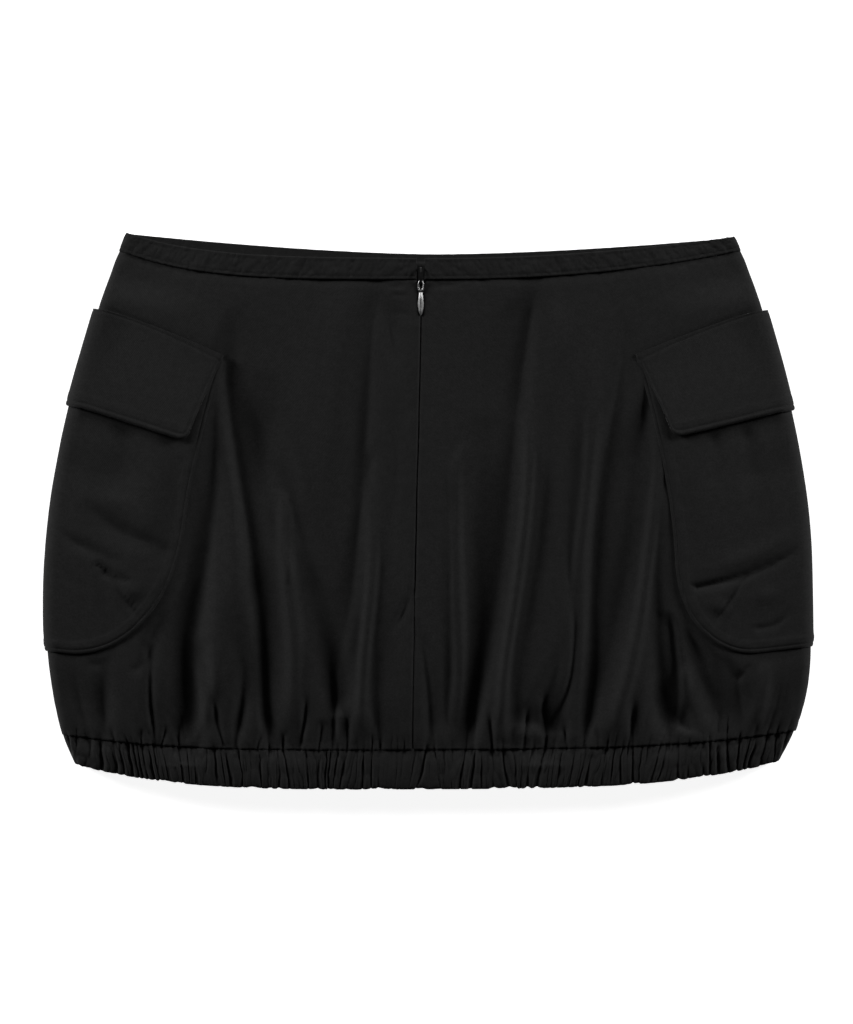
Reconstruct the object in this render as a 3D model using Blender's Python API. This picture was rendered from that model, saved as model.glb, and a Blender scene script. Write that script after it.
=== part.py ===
# A balloon mini skirt lying flat on its front, seen from the back: two back panels with an
# invisible zip between them, a front panel, a waistband in three parts, two cargo pockets and two
# flaps that wrap the side seams, and an elastic hem casing with its gathers.
# +X is the right side seam, +Y the waist, +Z up. The floor is z = 0, the origin mid footprint.
# Lengths in the tables are millimetres, and the solids are made in metres.
import math
import random
from functools import lru_cache

import bmesh
import bpy

MM = 0.001

# cloth and seams
SEAM_GAP = 0.3           # between neighbouring pieces
PANEL_WALL = 1.4         # body panels and pockets, folds and seam allowances included
BAND_WALL = 1.8          # waistband, two layers
FLAP_WALL = 2.0          # flap, two layers and interfacing
CASING_WALL = 2.8        # hem casing, cloth round its elastic
BAND_HEIGHT = 11.0       # waistband, along the skirt's length
CASING_TOP = 311.0       # casing seam, from the waist along the skirt's length
SKIRT_LENGTH = 332.0     # waist to hem along the skirt's length
ZIP_SLIT = 0.8           # between the back panels where the zip runs
ZIP_LENGTH = 218.0       # waist to the foot of the zip

# The flattened tube, a row for each distance "down" from the waist. Level lines run from height
# "left_up" at the left edge through "middle_up" to "right_up", the bows say how squarely they
# turn up at the sides, "left" and "right" are the edges, "fold" is the radius of the side fold,
# and "crown" is the height of the upper layer. The front has its own middle and bow.
SECTION_COLUMNS = ("down", "left_up", "middle_up", "right_up", "left_bow", "right_bow",
                   "front_up", "front_bow", "left", "right", "fold", "crown")
SECTIONS = (
    (0, 174.7, 158.4, 172.1, 4.2, 1.9, 161.9, 1.6, -188.4, 191.6, 5.0, 14.8),
    (10, 164.9, 146.5, 164.9, 4.2, 2.3, 151.0, 1.8, -192.6, 195.2, 5.0, 15.2),
    (45, 129.6, 113.3, 129.6, 2.6, 2.6, 116.0, 2.4, -204.7, 207.8, 5.5, 16.5),
    (108, 67.0, 52.0, 67.0, 2.6, 2.6, 53.0, 2.6, -222.3, 224.7, 6.5, 18.0),
    (170, 5.0, -9.4, 5.0, 2.6, 2.6, -9.4, 2.6, -234.3, 235.6, 7.0, 19.0),
    (232, -57.0, -69.5, -57.0, 2.6, 2.6, -69.5, 2.6, -239.0, 238.9, 7.0, 19.8),
    (280, -104.5, -115.8, -104.5, 2.8, 2.8, -115.8, 2.8, -236.2, 238.0, 6.8, 19.5),
    (311, -139.0, -148.4, -136.5, 3.4, 3.4, -148.4, 3.4, -229.5, 230.5, 6.0, 16.6),
    (332, -159.0, -174.0, -157.1, 3.6, 3.4, -173.4, 3.4, -221.5, 220.5, 5.6, 15.4),
)
MIDDLE_X = 0.05          # middle of the footprint in the tables' own frame
MIDDLE_Y = 0.28
CROWN_REACH = 62.0       # girth over which the upper layer rises from the side fold to its crown

# the layers under the side of the front: the floor carries flap, then pocket, then panel
POCKET_LIFT = SEAM_GAP + PANEL_WALL
FLAP_LIFT = SEAM_GAP + FLAP_WALL
LIFT_STEPS = (90.0, 104.0, 118.0)           # girth from the side seam, full lift to none
POCKET_LIFT_DOWN = (24.0, 44.0, 268.0, 292.0)
FLAP_LIFT_DOWN = (24.0, 44.0, 126.0, 152.0)
COVERED = (78.0, 96.0)   # girth from a plain panel under the pocket to one with its folds
COVERED_DOWN = (244.0, 264.0)
SIDE_CALM = (8.0, 36.0)  # girth over which folds grow from the side fold, below the pockets
SEAM_CALM = (288.0, 311.0)                  # where the folds are caught by the casing seam
CALMED = 0.3             # what is left of them there

# Folds of the back panels, troughs below zero and ridges above. Each runs from (x0, y0) to
# (x1, y1), its middle standing "bow" to the right of the straight line, with its half width and
# its relief at the start, the middle and the end.
FOLD_COLUMNS = ("name", "x0", "y0", "x1", "y1", "bow", "width0", "width1",
                "relief0", "relief", "relief1")
BACK_FOLDS = (
    ("left pocket trough", -130.0, 100.0, -96.0, -148.0, 6.0, 7.0, 7.5, -0.5, -5.4, -4.6),
    ("left hip trough", -135.5, -2.0, -155.0, -148.0, -4.6, 6.0, 7.0, 0.0, -4.8, -4.0),
    ("left middle trough", -36.5, 84.0, -59.5, -148.0, -4.0, 10.0, 6.5, 0.0, -3.6, -4.2),
    ("left middle branch", -94.5, 44.0, -60.5, -100.0, 1.5, 9.0, 7.0, 0.0, -2.8, -0.6),
    ("left edge trough", -178.0, -98.0, -169.0, -148.0, 0.0, 5.0, 5.5, 0.0, -2.2, -2.4),
    ("left vee outer", -143.0, -98.0, -119.6, -148.0, 0.0, 5.0, 5.0, 0.0, -2.0, -2.2),
    ("left vee inner", -104.5, -104.0, -118.5, -146.0, 0.0, 5.0, 5.0, 0.0, -1.4, -1.6),
    ("left seam trough", -30.0, -56.0, -30.0, -148.0, -3.0, 7.0, 5.5, 0.0, -2.2, -2.6),
    ("seam crossing", -8.0, -84.0, 3.0, -148.0, 3.0, 6.0, 5.0, 0.0, -2.0, -2.2),
    ("right middle trough", 66.0, 138.0, 23.0, -150.0, 0.5, 13.0, 8.0, 0.0, -5.0, -5.2),
    ("right pocket trough", 131.0, 100.0, 98.0, -148.0, -9.5, 8.0, 7.5, -0.5, -4.6, -4.8),
    ("right inner trough", 79.5, 44.0, 52.0, -148.0, -3.0, 8.0, 5.5, 0.0, -3.2, -3.8),
    ("right hip trough", 146.0, -40.0, 155.0, -146.0, 1.0, 9.0, 7.0, 0.0, -2.6, -3.0),
    ("right edge trough", 174.7, -92.0, 198.0, -140.0, 3.0, 6.0, 5.5, 0.0, -2.8, -2.0),
    ("left waist dimple", -137.0, 141.0, -127.0, 106.0, -2.0, 7.0, 7.0, 0.0, -1.4, -0.6),
    ("right waist dimple", 164.6, 138.0, 171.5, 122.0, 0.0, 6.0, 6.0, 0.0, -1.2, 0.0),
    ("left hip ridge", -132.0, 34.0, -134.0, -140.0, 0.0, 6.5, 6.5, 0.0, 4.8, 1.8),
    ("left inner ridge", -96.0, 60.0, -82.0, -142.0, 4.0, 12.0, 9.0, 0.0, 3.8, 2.8),
    ("left centre ridge", -34.0, 30.0, -44.0, -142.0, -1.0, 9.0, 8.0, 0.0, 3.4, 2.6),
    ("seam ridge", 14.0, 60.0, 8.0, -140.0, 0.0, 10.0, 8.0, 0.0, 2.0, 2.4),
    ("right centre ridge", 70.0, 60.0, 39.0, -142.0, 0.0, 8.0, 6.5, 0.0, 3.8, 2.8),
    ("right inner ridge", 97.0, 50.0, 76.0, -142.0, -2.0, 9.0, 8.5, 0.0, 4.2, 3.2),
    ("right hip ridge", 130.0, 30.0, 122.0, -142.0, 0.0, 8.0, 8.0, 0.0, 4.2, 2.6),
    ("left edge ridge", -166.0, -84.0, -162.0, -144.0, 0.0, 6.0, 6.0, 0.0, 2.6, 1.4),
)

# Creases of the pockets, on the half that lies on the back, in the same columns.
POCKET_FOLDS = {
    -1: (
        ("dart", -206.0, -32.0, -180.0, -71.0, 1.5, 3.4, 4.2, 0.0, -2.4, -0.8),
        ("dart upper crease", -205.0, -31.0, -184.0, -46.0, -1.0, 4.0, 4.5, 0.0, -1.8, 0.0),
        ("dart lower crease", -203.0, -38.0, -200.0, -78.0, -1.0, 4.0, 4.5, 0.0, -1.3, 0.0),
        ("cross crease", -222.0, -8.0, -166.0, -24.0, 3.0, 5.0, 6.5, 0.0, -1.9, 0.0),
        ("dart puff", -196.0, -40.0, -186.0, -62.0, 4.0, 6.0, 7.0, 0.0, 1.8, 0.0),
    ),
    1: (
        ("dart", 200.0, -40.0, 175.0, -75.0, -1.0, 3.6, 4.2, 0.0, -2.4, -0.8),
        ("dart upper crease", 170.0, -45.0, 230.0, -23.0, -2.0, 4.5, 4.5, 0.0, -1.9, 0.0),
        ("low crease", 206.0, -71.0, 224.0, -62.0, 0.0, 3.5, 3.5, 0.0, -1.0, 0.0),
        ("dart puff", 184.0, -50.0, 176.0, -64.0, 2.0, 6.0, 6.0, 0.0, 1.6, 0.0),
    ),
}

# Pockets and flaps as cut, girth from the side seam: half widths, and the corner as the width and
# drop of its quarter ellipse. The droops are how far the flap's top and foot fall to their ends.
POCKET_COLUMNS = ("half_width", "foot", "corner_width", "corner_drop")
POCKETS = {-1: (87.0, 262.5, 72.0, 88.0), 1: (87.2, 259.5, 50.0, 60.0)}
FLAP_COLUMNS = ("top_half", "foot_half", "top", "top_droop", "foot", "foot_droop")
FLAPS = {-1: (86.5, 79.0, 47.5, 18.5, 108.5, 13.5), 1: (87.0, 78.0, 48.4, 16.5, 111.5, 8.0)}
TOP_DROOP_POWER = 1.6
FOOT_DROOP_POWER = 1.3
FLAP_CORNER = 7.0        # radius of the flap's lower corners
FLAP_FLARE = 1.2         # how far the flap's foot stands off the pocket
FLARE_GIRTH = (-2.0, 20.0)
POCKET_MOUTH = 14.0      # the pocket's top edge, below the flap's
POCKET_PUFF = 2.6        # slack of the pocket over the panel
PUFF_GIRTH = (-4.0, 24.0, 56.0, 82.0)
PUFF_DOWN = (112.0, 164.0, 232.0, 258.0)
POCKET_FOLD_GIRTH = (12.0, 28.0)            # girth over which the pocket's creases grow

# hem gathers
BACK_GATHERS = 95
GATHER_SEED = 95
GATHER_SPREAD = 0.42     # unevenness of their widths
GATHER_DEPTH = 1.5
GATHER_COLUMNS = (0.0, 0.3, 0.7)            # trough, then the two shoulders of the ridge
CASING_PUFF = 1.4        # how far the casing bulges between its seam and its foot
PUFF_FADE = (4.0, 20.0)  # girth from the side fold over which the bulge and the gathers grow
GATHER_FADE = (0.0, 8.0)
FRONT_CASING_COLUMNS = 36

# Grid of each wall. Every wall has the same columns round the side fold and the same rows where
# the layers under it step down, so that layers keep their distance.
ROUND_COLUMNS = 3        # on each quarter of the side fold
PANEL_COLUMNS = 37
BAND_COLUMNS = 24
FRONT_GIRTHS = (50.0, *LIFT_STEPS)          # columns of the front between fold and middle
FRONT_MIDDLE_COLUMNS = 5                    # and from there to the middle, each side
POCKET_COLUMNS_ACROSS = (1, 6)              # straight and corner, each half beyond the fold
POCKET_ROWS_BELOW = 7                       # below the last step
FLAP_COLUMNS_ACROSS = (4, 3)
FLAP_ROWS = 4
STEP_ROWS = (126.0, 139.0, 152.0)           # where the flap ends under the front
BODY_ROWS = (24.0, 34.0, 44.0, 64.0, 85.0, 105.0, *STEP_ROWS, 170.0, 188.0, 206.0, 222.0,
             238.0, 253.0, 268.0, 280.0, 292.0, 302.0)

# centre-back seam: where it runs at the waist and at the casing
SEAM_TOP_X = -4.4
SEAM_FOOT_X = -9.4
SEAM_GROOVE = 0.7        # depth of the groove along the seam
SEAM_GROOVE_WIDTH = 3.0

# zip
TAPE_WIDTH = 22.0
TAPE_WALL = 1.0
TAPE_DOWN = (1.5, 232.0)
TAPE_ROWS = 10
TAPE_CLEARANCE = 0.2     # more than a seam's, behind the waistband
SLIT_FADE = 20.0         # length over which the slit closes above the foot of the zip
SLIDER_DOWN = (4.5, 14.5)                   # the bridge, from the waist
SLIDER_NOTCH = 2.6       # slit between the panels where the slider sits
SLIDER_NOTCH_FOOT = 20.0
NOTCH_FADE = 6.0
NECK_WIDTH = 1.6
NECK_DROP = 0.9          # how far the neck reaches down between the panels
NECK_INSET = 1.0         # from the ends of the plate
BRIDGE_WIDTH = 1.4
BRIDGE_RISE = 3.4        # top of the bridge over the underside of the slider's plate
BRIDGE_WALL = 0.7
BRIDGE_SQUARE = 0.4      # below 1 the bridge is squarer than a half round
BRIDGE_STEPS = 8
PLATE_WIDTH = 3.6
PLATE_WALL = 0.6
PULL_WALL = 0.8          # thickness of the pull's ring and tab
PULL_CLEARANCE = 0.4     # between the pull's bar and the plate
RING_WIDTH = 4.9
RING_LENGTH = 6.2
RING_BAR = 0.9           # width of the ring's sides
HINGE_BAR = 0.5          # half the depth of the bar that runs in the bridge
HINGE_SHIFT = 1.75       # from the foot of the bridge to the hinge
RING_FOOT = 1.6
RING_TAPER = 2.0         # length over which the ring narrows to the tab's neck
TAB_LENGTH = 15.6
TAB_WIDTH = 4.2
TAB_NECK = 2.4
TAB_STEPS = 8
TAB_LOW_BELLY = 1.4      # above 1 the tab is widest below its middle

SHARP_DEGREES = 40.0     # edges turned further than this stay crisp

BLACK_COTTON = (0.013, 0.013, 0.014)
BLACK_TAPE = (0.009, 0.009, 0.010)
GUNMETAL = (0.09, 0.09, 0.095)


def named(columns, row):
    return dict(zip(columns, row))


def ease(value, start, end):
    t = min(max((value - start) / (end - start), 0.0), 1.0)
    return t * t * (3.0 - 2.0 * t)


def plateau(value, rise_start, rise_end, fall_start, fall_end):
    return ease(value, rise_start, rise_end) * (1.0 - ease(value, fall_start, fall_end))


def hermite(t, before, start, end, after, gaps):
    # cubic between start and end, its slopes taken from the neighbouring rows
    gap_before, gap, gap_after = gaps
    slope_start = (end - before) / (gap_before + gap) * gap
    slope_end = (after - start) / (gap + gap_after) * gap
    return ((2 * t**3 - 3 * t**2 + 1) * start + (t**3 - 2 * t**2 + t) * slope_start
            + (3 * t**2 - 2 * t**3) * end + (t**3 - t**2) * slope_end)


@lru_cache(maxsize=None)
def section(down):
    last = len(SECTIONS) - 1
    down = min(max(down, SECTIONS[0][0]), SECTIONS[last][0])
    row = max(k for k in range(last) if SECTIONS[k][0] <= down)
    before = SECTIONS[max(row - 1, 0)]
    start, end = SECTIONS[row], SECTIONS[row + 1]
    after = SECTIONS[min(row + 2, last)]
    gap = end[0] - start[0]
    gaps = (start[0] - before[0], gap, after[0] - end[0])
    t = (down - start[0]) / gap
    values = [hermite(t, *column, gaps) for column in zip(before, start, end, after)]
    return named(SECTION_COLUMNS, values)


def level_height(here, across, back):
    # height up the skirt of the level line, across = 0 at the left edge and 1 at the right
    side_up = here["left_up"] + (here["right_up"] - here["left_up"]) * across
    mean_up = (here["left_up"] + here["right_up"]) / 2
    out = abs(2.0 * across - 1.0)
    if back:
        middle = here["middle_up"]
        bow = here["left_bow"] if across < 0.5 else here["right_bow"]
    else:
        middle = here["front_up"]
        bow = here["front_bow"]
    return side_up + (middle - mean_up) * (1.0 - out**bow)


def fold_relief(x, y, folds):
    total = 0.0
    for row in folds:
        fold = named(FOLD_COLUMNS, row)
        run_x = fold["x1"] - fold["x0"]
        run_y = fold["y1"] - fold["y0"]
        length = math.hypot(run_x, run_y)
        along = ((x - fold["x0"]) * run_x + (y - fold["y0"]) * run_y) / length**2
        aside = ((y - fold["y0"]) * run_x - (x - fold["x0"]) * run_y) / length
        t = min(max(along, 0.0), 1.0)
        past = (along - t) * length
        aside -= fold["bow"] * 4.0 * t * (1.0 - t)
        width = fold["width0"] + (fold["width1"] - fold["width0"]) * t
        if t < 0.5:
            relief = fold["relief0"] + (fold["relief"] - fold["relief0"]) * ease(t, 0.0, 0.5)
        else:
            relief = fold["relief"] + (fold["relief1"] - fold["relief"]) * ease(t, 0.5, 1.0)
        total += relief * math.exp(-(aside * aside + past * past) / width**2)
    return total


def seam_x(y):
    top, foot = SECTIONS[0][2], SECTIONS[-2][2]
    return SEAM_TOP_X + (SEAM_FOOT_X - SEAM_TOP_X) * ease(y, top, foot)


def lift(away, down):
    # height of the front panel over the floor, where a pocket and a flap lie under it
    near = 1.0 - ease(away, LIFT_STEPS[0], LIFT_STEPS[-1])
    pocket = POCKET_LIFT * plateau(down, *POCKET_LIFT_DOWN)
    flap = FLAP_LIFT * plateau(down, *FLAP_LIFT_DOWN)
    return near * (pocket + flap)


def spot(side, girth, down, out=0.0):
    # A point "out" from the skirt's outer face. Girth runs from the side seam, above zero on the
    # back and below it on the front. side is -1 at the left and 1 at the right.
    here = section(round(down, 4))
    fold = here["fold"]
    edge = here["left"] if side < 0 else here["right"]
    away = abs(girth)
    quarter = fold * math.pi / 2
    if away < quarter:
        turn = away / fold
        inset = fold - fold * math.cos(turn)
        x = edge - side * (fold - (fold + out) * math.cos(turn))
        rise = (fold + out) * math.sin(turn)
    else:
        inset = fold + away - quarter
        x = edge - side * inset
        rise = fold + out
    across = (edge - side * inset - here["left"]) / (here["right"] - here["left"])
    y = level_height(here, across, girth >= 0)
    if girth < 0:
        return x - MIDDLE_X, y - MIDDLE_Y, lift(away, down) + fold - rise
    side_lift = lift(0.0, down)
    crown = here["crown"] - side_lift - 2.0 * fold
    z = side_lift + fold + rise + crown * ease(away, quarter, quarter + CROWN_REACH)
    if away > quarter:
        z += back_relief(x, y, away, down)
    return x - MIDDLE_X, y - MIDDLE_Y, z


def back_relief(x, y, away, down):
    # folds fade out under the pockets, at the side fold and against the casing seam
    groove = SEAM_GROOVE * math.exp(-((x - seam_x(y)) / SEAM_GROOVE_WIDTH)**2)
    bare = ease(down, *COVERED_DOWN) * ease(away, *SIDE_CALM)
    open_cloth = max(ease(away, *COVERED), bare)
    calm = 1.0 - (1.0 - CALMED) * ease(down, *SEAM_CALM)
    calm *= 1.0 - ease(down, CASING_TOP, SKIRT_LENGTH)
    return fold_relief(x, y, BACK_FOLDS) * open_cloth * calm - groove


def girth_at_seam(down):
    # girth on the back from the left side seam to the centre-back seam
    here = section(round(down, 4))
    return seam_x(here["middle_up"]) - here["left"] + here["fold"] * (math.pi / 2.0 - 1.0)


def full_girth(down):
    # girth of one layer, from side seam to side seam
    here = section(round(down, 4))
    return here["right"] - here["left"] + here["fold"] * (math.pi - 2.0)


def material(name, colour, roughness, metallic=0.0):
    made = bpy.data.materials.new(name)
    made.use_nodes = True
    shader = made.node_tree.nodes["Principled BSDF"]
    shader.inputs["Base Color"].default_value = (*colour, 1.0)
    shader.inputs["Roughness"].default_value = roughness
    shader.inputs["Metallic"].default_value = metallic
    return made


def add_object(name, shape, finish):
    mesh = bpy.data.meshes.new(name)
    bmesh.ops.recalc_face_normals(shape, faces=shape.faces)
    shape.to_mesh(mesh)
    shape.free()
    mesh.shade_smooth()
    mesh.set_sharp_from_angle(angle=math.radians(SHARP_DEGREES))
    mesh.materials.append(finish)
    made = bpy.data.objects.new(name, mesh)
    bpy.context.scene.collection.objects.link(made)
    return made


def wall(name, finish, columns, rows, point, ring=False):
    # A closed wall of cloth: point(column, row, inner) gives both faces of a grid.
    shape = bmesh.new()
    count = columns if ring else columns + 1
    faces = []
    for inner in (False, True):
        grid = [[shape.verts.new([MM * value for value in point(i, j, inner)])
                 for j in range(rows + 1)] for i in range(count)]
        faces.append(grid)
    outside, inside = faces
    for i in range(columns):
        k = (i + 1) % count
        for j in range(rows):
            shape.faces.new((outside[i][j], outside[i][j + 1], outside[k][j + 1], outside[k][j]))
            shape.faces.new((inside[i][j], inside[k][j], inside[k][j + 1], inside[i][j + 1]))
        for j in (0, rows):
            shape.faces.new((outside[i][j], outside[k][j], inside[k][j], inside[i][j]))
    if not ring:
        for i in (0, columns):
            for j in range(rows):
                shape.faces.new((outside[i][j], inside[i][j], inside[i][j + 1],
                                 outside[i][j + 1]))
    return add_object(name, shape, finish)


def share(start, end, part):
    return start + (end - start) * part


def half_slit(down):
    # half the distance between the two back pieces, along the seam and the zip
    closed = ease(down, ZIP_LENGTH - SLIT_FADE, ZIP_LENGTH)
    notch_closed = ease(down, SLIDER_NOTCH_FOOT - NOTCH_FADE, SLIDER_NOTCH_FOOT)
    return max(share(ZIP_SLIT, SEAM_GAP, closed), share(SLIDER_NOTCH, 0.0, notch_closed)) / 2.0


def quarter_girth(down):
    return section(round(down, 4))["fold"] * math.pi / 2.0


def column_girth(k, columns, end, down):
    # girth of column k: evenly round the side fold, then evenly to the end
    quarter = quarter_girth(down)
    if k == 0:
        return SEAM_GAP / 2.0
    if k <= ROUND_COLUMNS:
        return quarter * k / ROUND_COLUMNS
    return share(quarter, end, (k - ROUND_COLUMNS) / (columns - ROUND_COLUMNS))


def back_girth(side, down, k, columns):
    # column 0 is at the side seam, the last one at the centre-back seam
    reach = girth_at_seam(down)
    if side > 0:
        reach = full_girth(down) - reach
    return column_girth(k, columns, reach - half_slit(down), down)


def panel_rows():
    return (BAND_HEIGHT + SEAM_GAP, *BODY_ROWS, CASING_TOP - SEAM_GAP)


def back_panel(side, finish):
    rows = panel_rows()

    def point(i, j, inner):
        girth = back_girth(side, rows[j], i, PANEL_COLUMNS)
        return spot(side, girth, rows[j], -PANEL_WALL if inner else 0.0)

    name = "back_left" if side < 0 else "back_right"
    return wall(name, finish, PANEL_COLUMNS, len(rows) - 1, point)


def front_half():
    return ROUND_COLUMNS + len(FRONT_GIRTHS) + FRONT_MIDDLE_COLUMNS


def front_point(k, down, out):
    # column 0 is at the left side seam of the front, the last one at the right one
    half = front_half()
    near = min(k, 2 * half - k)
    past = near - ROUND_COLUMNS - len(FRONT_GIRTHS)
    if near <= ROUND_COLUMNS:
        girth = column_girth(near, half, 0.0, down)
    elif past <= 0:
        girth = FRONT_GIRTHS[past - 1]
    else:
        middle = full_girth(down) / 2.0
        girth = share(FRONT_GIRTHS[-1], middle, past / FRONT_MIDDLE_COLUMNS)
    return spot(-1 if k <= half else 1, -girth, down, out)


def front_panel(finish):
    rows = panel_rows()

    def point(i, j, inner):
        return front_point(i, rows[j], -PANEL_WALL if inner else 0.0)

    return wall("front", finish, 2 * front_half(), len(rows) - 1, point)


def waistband_back(side, finish):
    def point(i, j, inner):
        down = BAND_HEIGHT * j
        girth = back_girth(side, down, i, BAND_COLUMNS)
        return spot(side, girth, down, -BAND_WALL if inner else 0.0)

    name = "waistband_back_left" if side < 0 else "waistband_back_right"
    return wall(name, finish, BAND_COLUMNS, 1, point)


def waistband_front(finish):
    def point(i, j, inner):
        return front_point(i, BAND_HEIGHT * j, -BAND_WALL if inner else 0.0)

    return wall("waistband_front", finish, 2 * front_half(), 1, point)


def pocket_slack(girth, down):
    # the pocket stands off the panel on the back, and lies flat on the floor below
    return POCKET_PUFF * plateau(girth, *PUFF_GIRTH) * plateau(down, *PUFF_DOWN)


def pocket(side, finish):
    cut = named(POCKET_COLUMNS, POCKETS[side])
    flap_cut = named(FLAP_COLUMNS, FLAPS[side])
    straight = cut["half_width"] - cut["corner_width"]
    plain, rounded = POCKET_COLUMNS_ACROSS
    half = ROUND_COLUMNS + plain + rounded
    rows = 2 + len(STEP_ROWS) + POCKET_ROWS_BELOW - 1

    def girth_of(k, down):
        # round the fold, straight on, then closer together towards the rounded corner
        if k <= ROUND_COLUMNS:
            return quarter_girth(down) * k / ROUND_COLUMNS
        if k <= ROUND_COLUMNS + plain:
            return share(quarter_girth(down), straight, (k - ROUND_COLUMNS) / plain)
        turn = (k - ROUND_COLUMNS - plain) / rounded * math.pi / 2.0
        return straight + cut["corner_width"] * math.sin(turn)

    def point(i, j, inner):
        k = abs(i - half)
        away = girth_of(k, STEP_ROWS[-1])
        reach = max(away - straight, 0.0) / cut["corner_width"]
        foot = cut["foot"] - cut["corner_drop"] * (1.0 - math.sqrt(max(1.0 - reach**2, 0.0)))
        top = flap_cut["top"] + POCKET_MOUTH
        top += flap_cut["top_droop"] * (away / cut["half_width"])**TOP_DROOP_POWER
        if j == 0:
            down = top
        elif j == 1:
            down = share(top, STEP_ROWS[0], 0.5)
        elif j < 2 + len(STEP_ROWS):
            down = STEP_ROWS[j - 2]
        else:
            down = share(STEP_ROWS[-1], foot, (j - 1 - len(STEP_ROWS)) / POCKET_ROWS_BELOW)
        girth = math.copysign(girth_of(k, down), i - half)
        out = SEAM_GAP + (0.0 if inner else PANEL_WALL) + pocket_slack(girth, down)
        x, y, z = spot(side, girth, down, out)
        if girth > 0:
            z += fold_relief(x, y, POCKET_FOLDS[side]) * ease(girth, *POCKET_FOLD_GIRTH)
        return x, y, z

    return wall("pocket_left" if side < 0 else "pocket_right", finish, 2 * half, rows, point)


def flap(side, finish):
    cut = named(FLAP_COLUMNS, FLAPS[side])
    plain, rounded = FLAP_COLUMNS_ACROSS
    half = ROUND_COLUMNS + plain + rounded

    def girth_of(k, edge, down):
        # round the fold, straight on, then the columns that share out the rounded corner
        corner_start = edge - FLAP_CORNER
        if k <= ROUND_COLUMNS:
            return quarter_girth(down) * k / ROUND_COLUMNS
        if k <= ROUND_COLUMNS + plain:
            return share(quarter_girth(down), corner_start, (k - ROUND_COLUMNS) / plain)
        turn = (k - ROUND_COLUMNS - plain) / rounded * math.pi / 2.0
        return corner_start + FLAP_CORNER * math.sin(turn)

    def point(i, j, inner):
        k = abs(i - half)
        drop = j / FLAP_ROWS
        middle_down = share(cut["top"], cut["foot"], drop)
        edge = share(cut["top_half"], cut["foot_half"], drop)
        away = girth_of(k, edge, middle_down) if k else 0.0
        across = away / edge
        top = cut["top"] + cut["top_droop"] * across**TOP_DROOP_POWER
        reach = max(away - edge + FLAP_CORNER, 0.0)
        corner = FLAP_CORNER - math.sqrt(max(FLAP_CORNER**2 - reach**2, 0.0))
        foot = cut["foot"] + cut["foot_droop"] * across**FOOT_DROOP_POWER - corner
        down = share(top, foot, drop)
        girth = math.copysign(girth_of(k, edge, down) if k else 0.0, i - half)
        out = 2.0 * SEAM_GAP + PANEL_WALL + (0.0 if inner else FLAP_WALL)
        out += pocket_slack(girth, down)
        out += FLAP_FLARE * ease(girth, *FLARE_GIRTH) * drop**2
        return spot(side, girth, down, out)

    return wall("flap_left" if side < 0 else "flap_right", finish, 2 * half, FLAP_ROWS, point)


def gather_places():
    # shares of the back's width: a trough and two shoulders for each gather, unevenly wide
    dice = random.Random(GATHER_SEED)
    widths = [1.0 + GATHER_SPREAD * dice.uniform(-1.0, 1.0) for _ in range(BACK_GATHERS)]
    total = sum(widths)
    places = []
    start = 0.0
    for width in widths:
        depth = GATHER_DEPTH * dice.uniform(0.6, 1.0)
        for k, shift in enumerate(GATHER_COLUMNS):
            places.append(((start + shift * width) / total, 0.0 if k else -depth))
        start += width
    return places


def hem_casing(finish):
    back = gather_places()
    front = [(k / FRONT_CASING_COLUMNS, 0.0) for k in range(FRONT_CASING_COLUMNS)]
    columns = len(back) + len(front)
    rows = 2

    def point(i, j, inner):
        down = share(CASING_TOP, SKIRT_LENGTH, j / rows)
        bulge = CASING_PUFF if j == 1 else 0.0
        half = full_girth(down)
        if i >= len(back):
            part = 1.0 - front[i - len(back)][0]
            out = -CASING_WALL if inner else 0.0
            if part < 0.5:
                return spot(-1, -half * part, down, out)
            return spot(1, -half * (1.0 - part), down, out)
        part, depth = back[i]
        girth = half * part
        away = min(girth, half - girth)
        out = -CASING_WALL if inner else depth * ease(away, *GATHER_FADE)
        out += bulge * ease(away, *PUFF_FADE)
        if part < 0.5:
            return spot(-1, girth, down, out)
        return spot(1, half - girth, down, out)

    return wall("hem_casing", finish, columns, rows, point, ring=True)


def seam_spot(down, out):
    return spot(-1, girth_at_seam(down), down, out)


def zip_tape(finish):
    def point(i, j, inner):
        down = share(*TAPE_DOWN, j / TAPE_ROWS)
        girth = girth_at_seam(down) + TAPE_WIDTH * (i / 2.0 - 0.5)
        out = -BAND_WALL - SEAM_GAP - TAPE_CLEARANCE - (TAPE_WALL if inner else 0.0)
        return spot(-1, girth, down, out)

    return wall("zip_tape", finish, 2, TAPE_ROWS, point)


def box(shape, low, high):
    made = bmesh.ops.create_cube(shape, size=1.0)
    for vert in made["verts"]:
        for axis in range(3):
            middle = (low[axis] + high[axis]) / 2.0
            vert.co[axis] = MM * (middle + vert.co[axis] * (high[axis] - low[axis]))


def slider_place():
    # x of the zip, the bridge's two ends along y, and the underside of the slider's plate
    top_x, top_y, top_z = seam_spot(SLIDER_DOWN[0], 0.0)
    foot_y, foot_z = seam_spot(SLIDER_DOWN[1], 0.0)[1:]
    return top_x, top_y, foot_y, max(top_z, foot_z) + SEAM_GROOVE + SEAM_GAP


def bridge_arc(middle, half_length, base, rise):
    arc = []
    for k in range(BRIDGE_STEPS + 1):
        turn = math.pi * k / BRIDGE_STEPS
        height = base + rise * max(math.sin(turn), 0.0)**BRIDGE_SQUARE
        arc.append((middle + half_length * math.cos(turn), height))
    return arc


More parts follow.
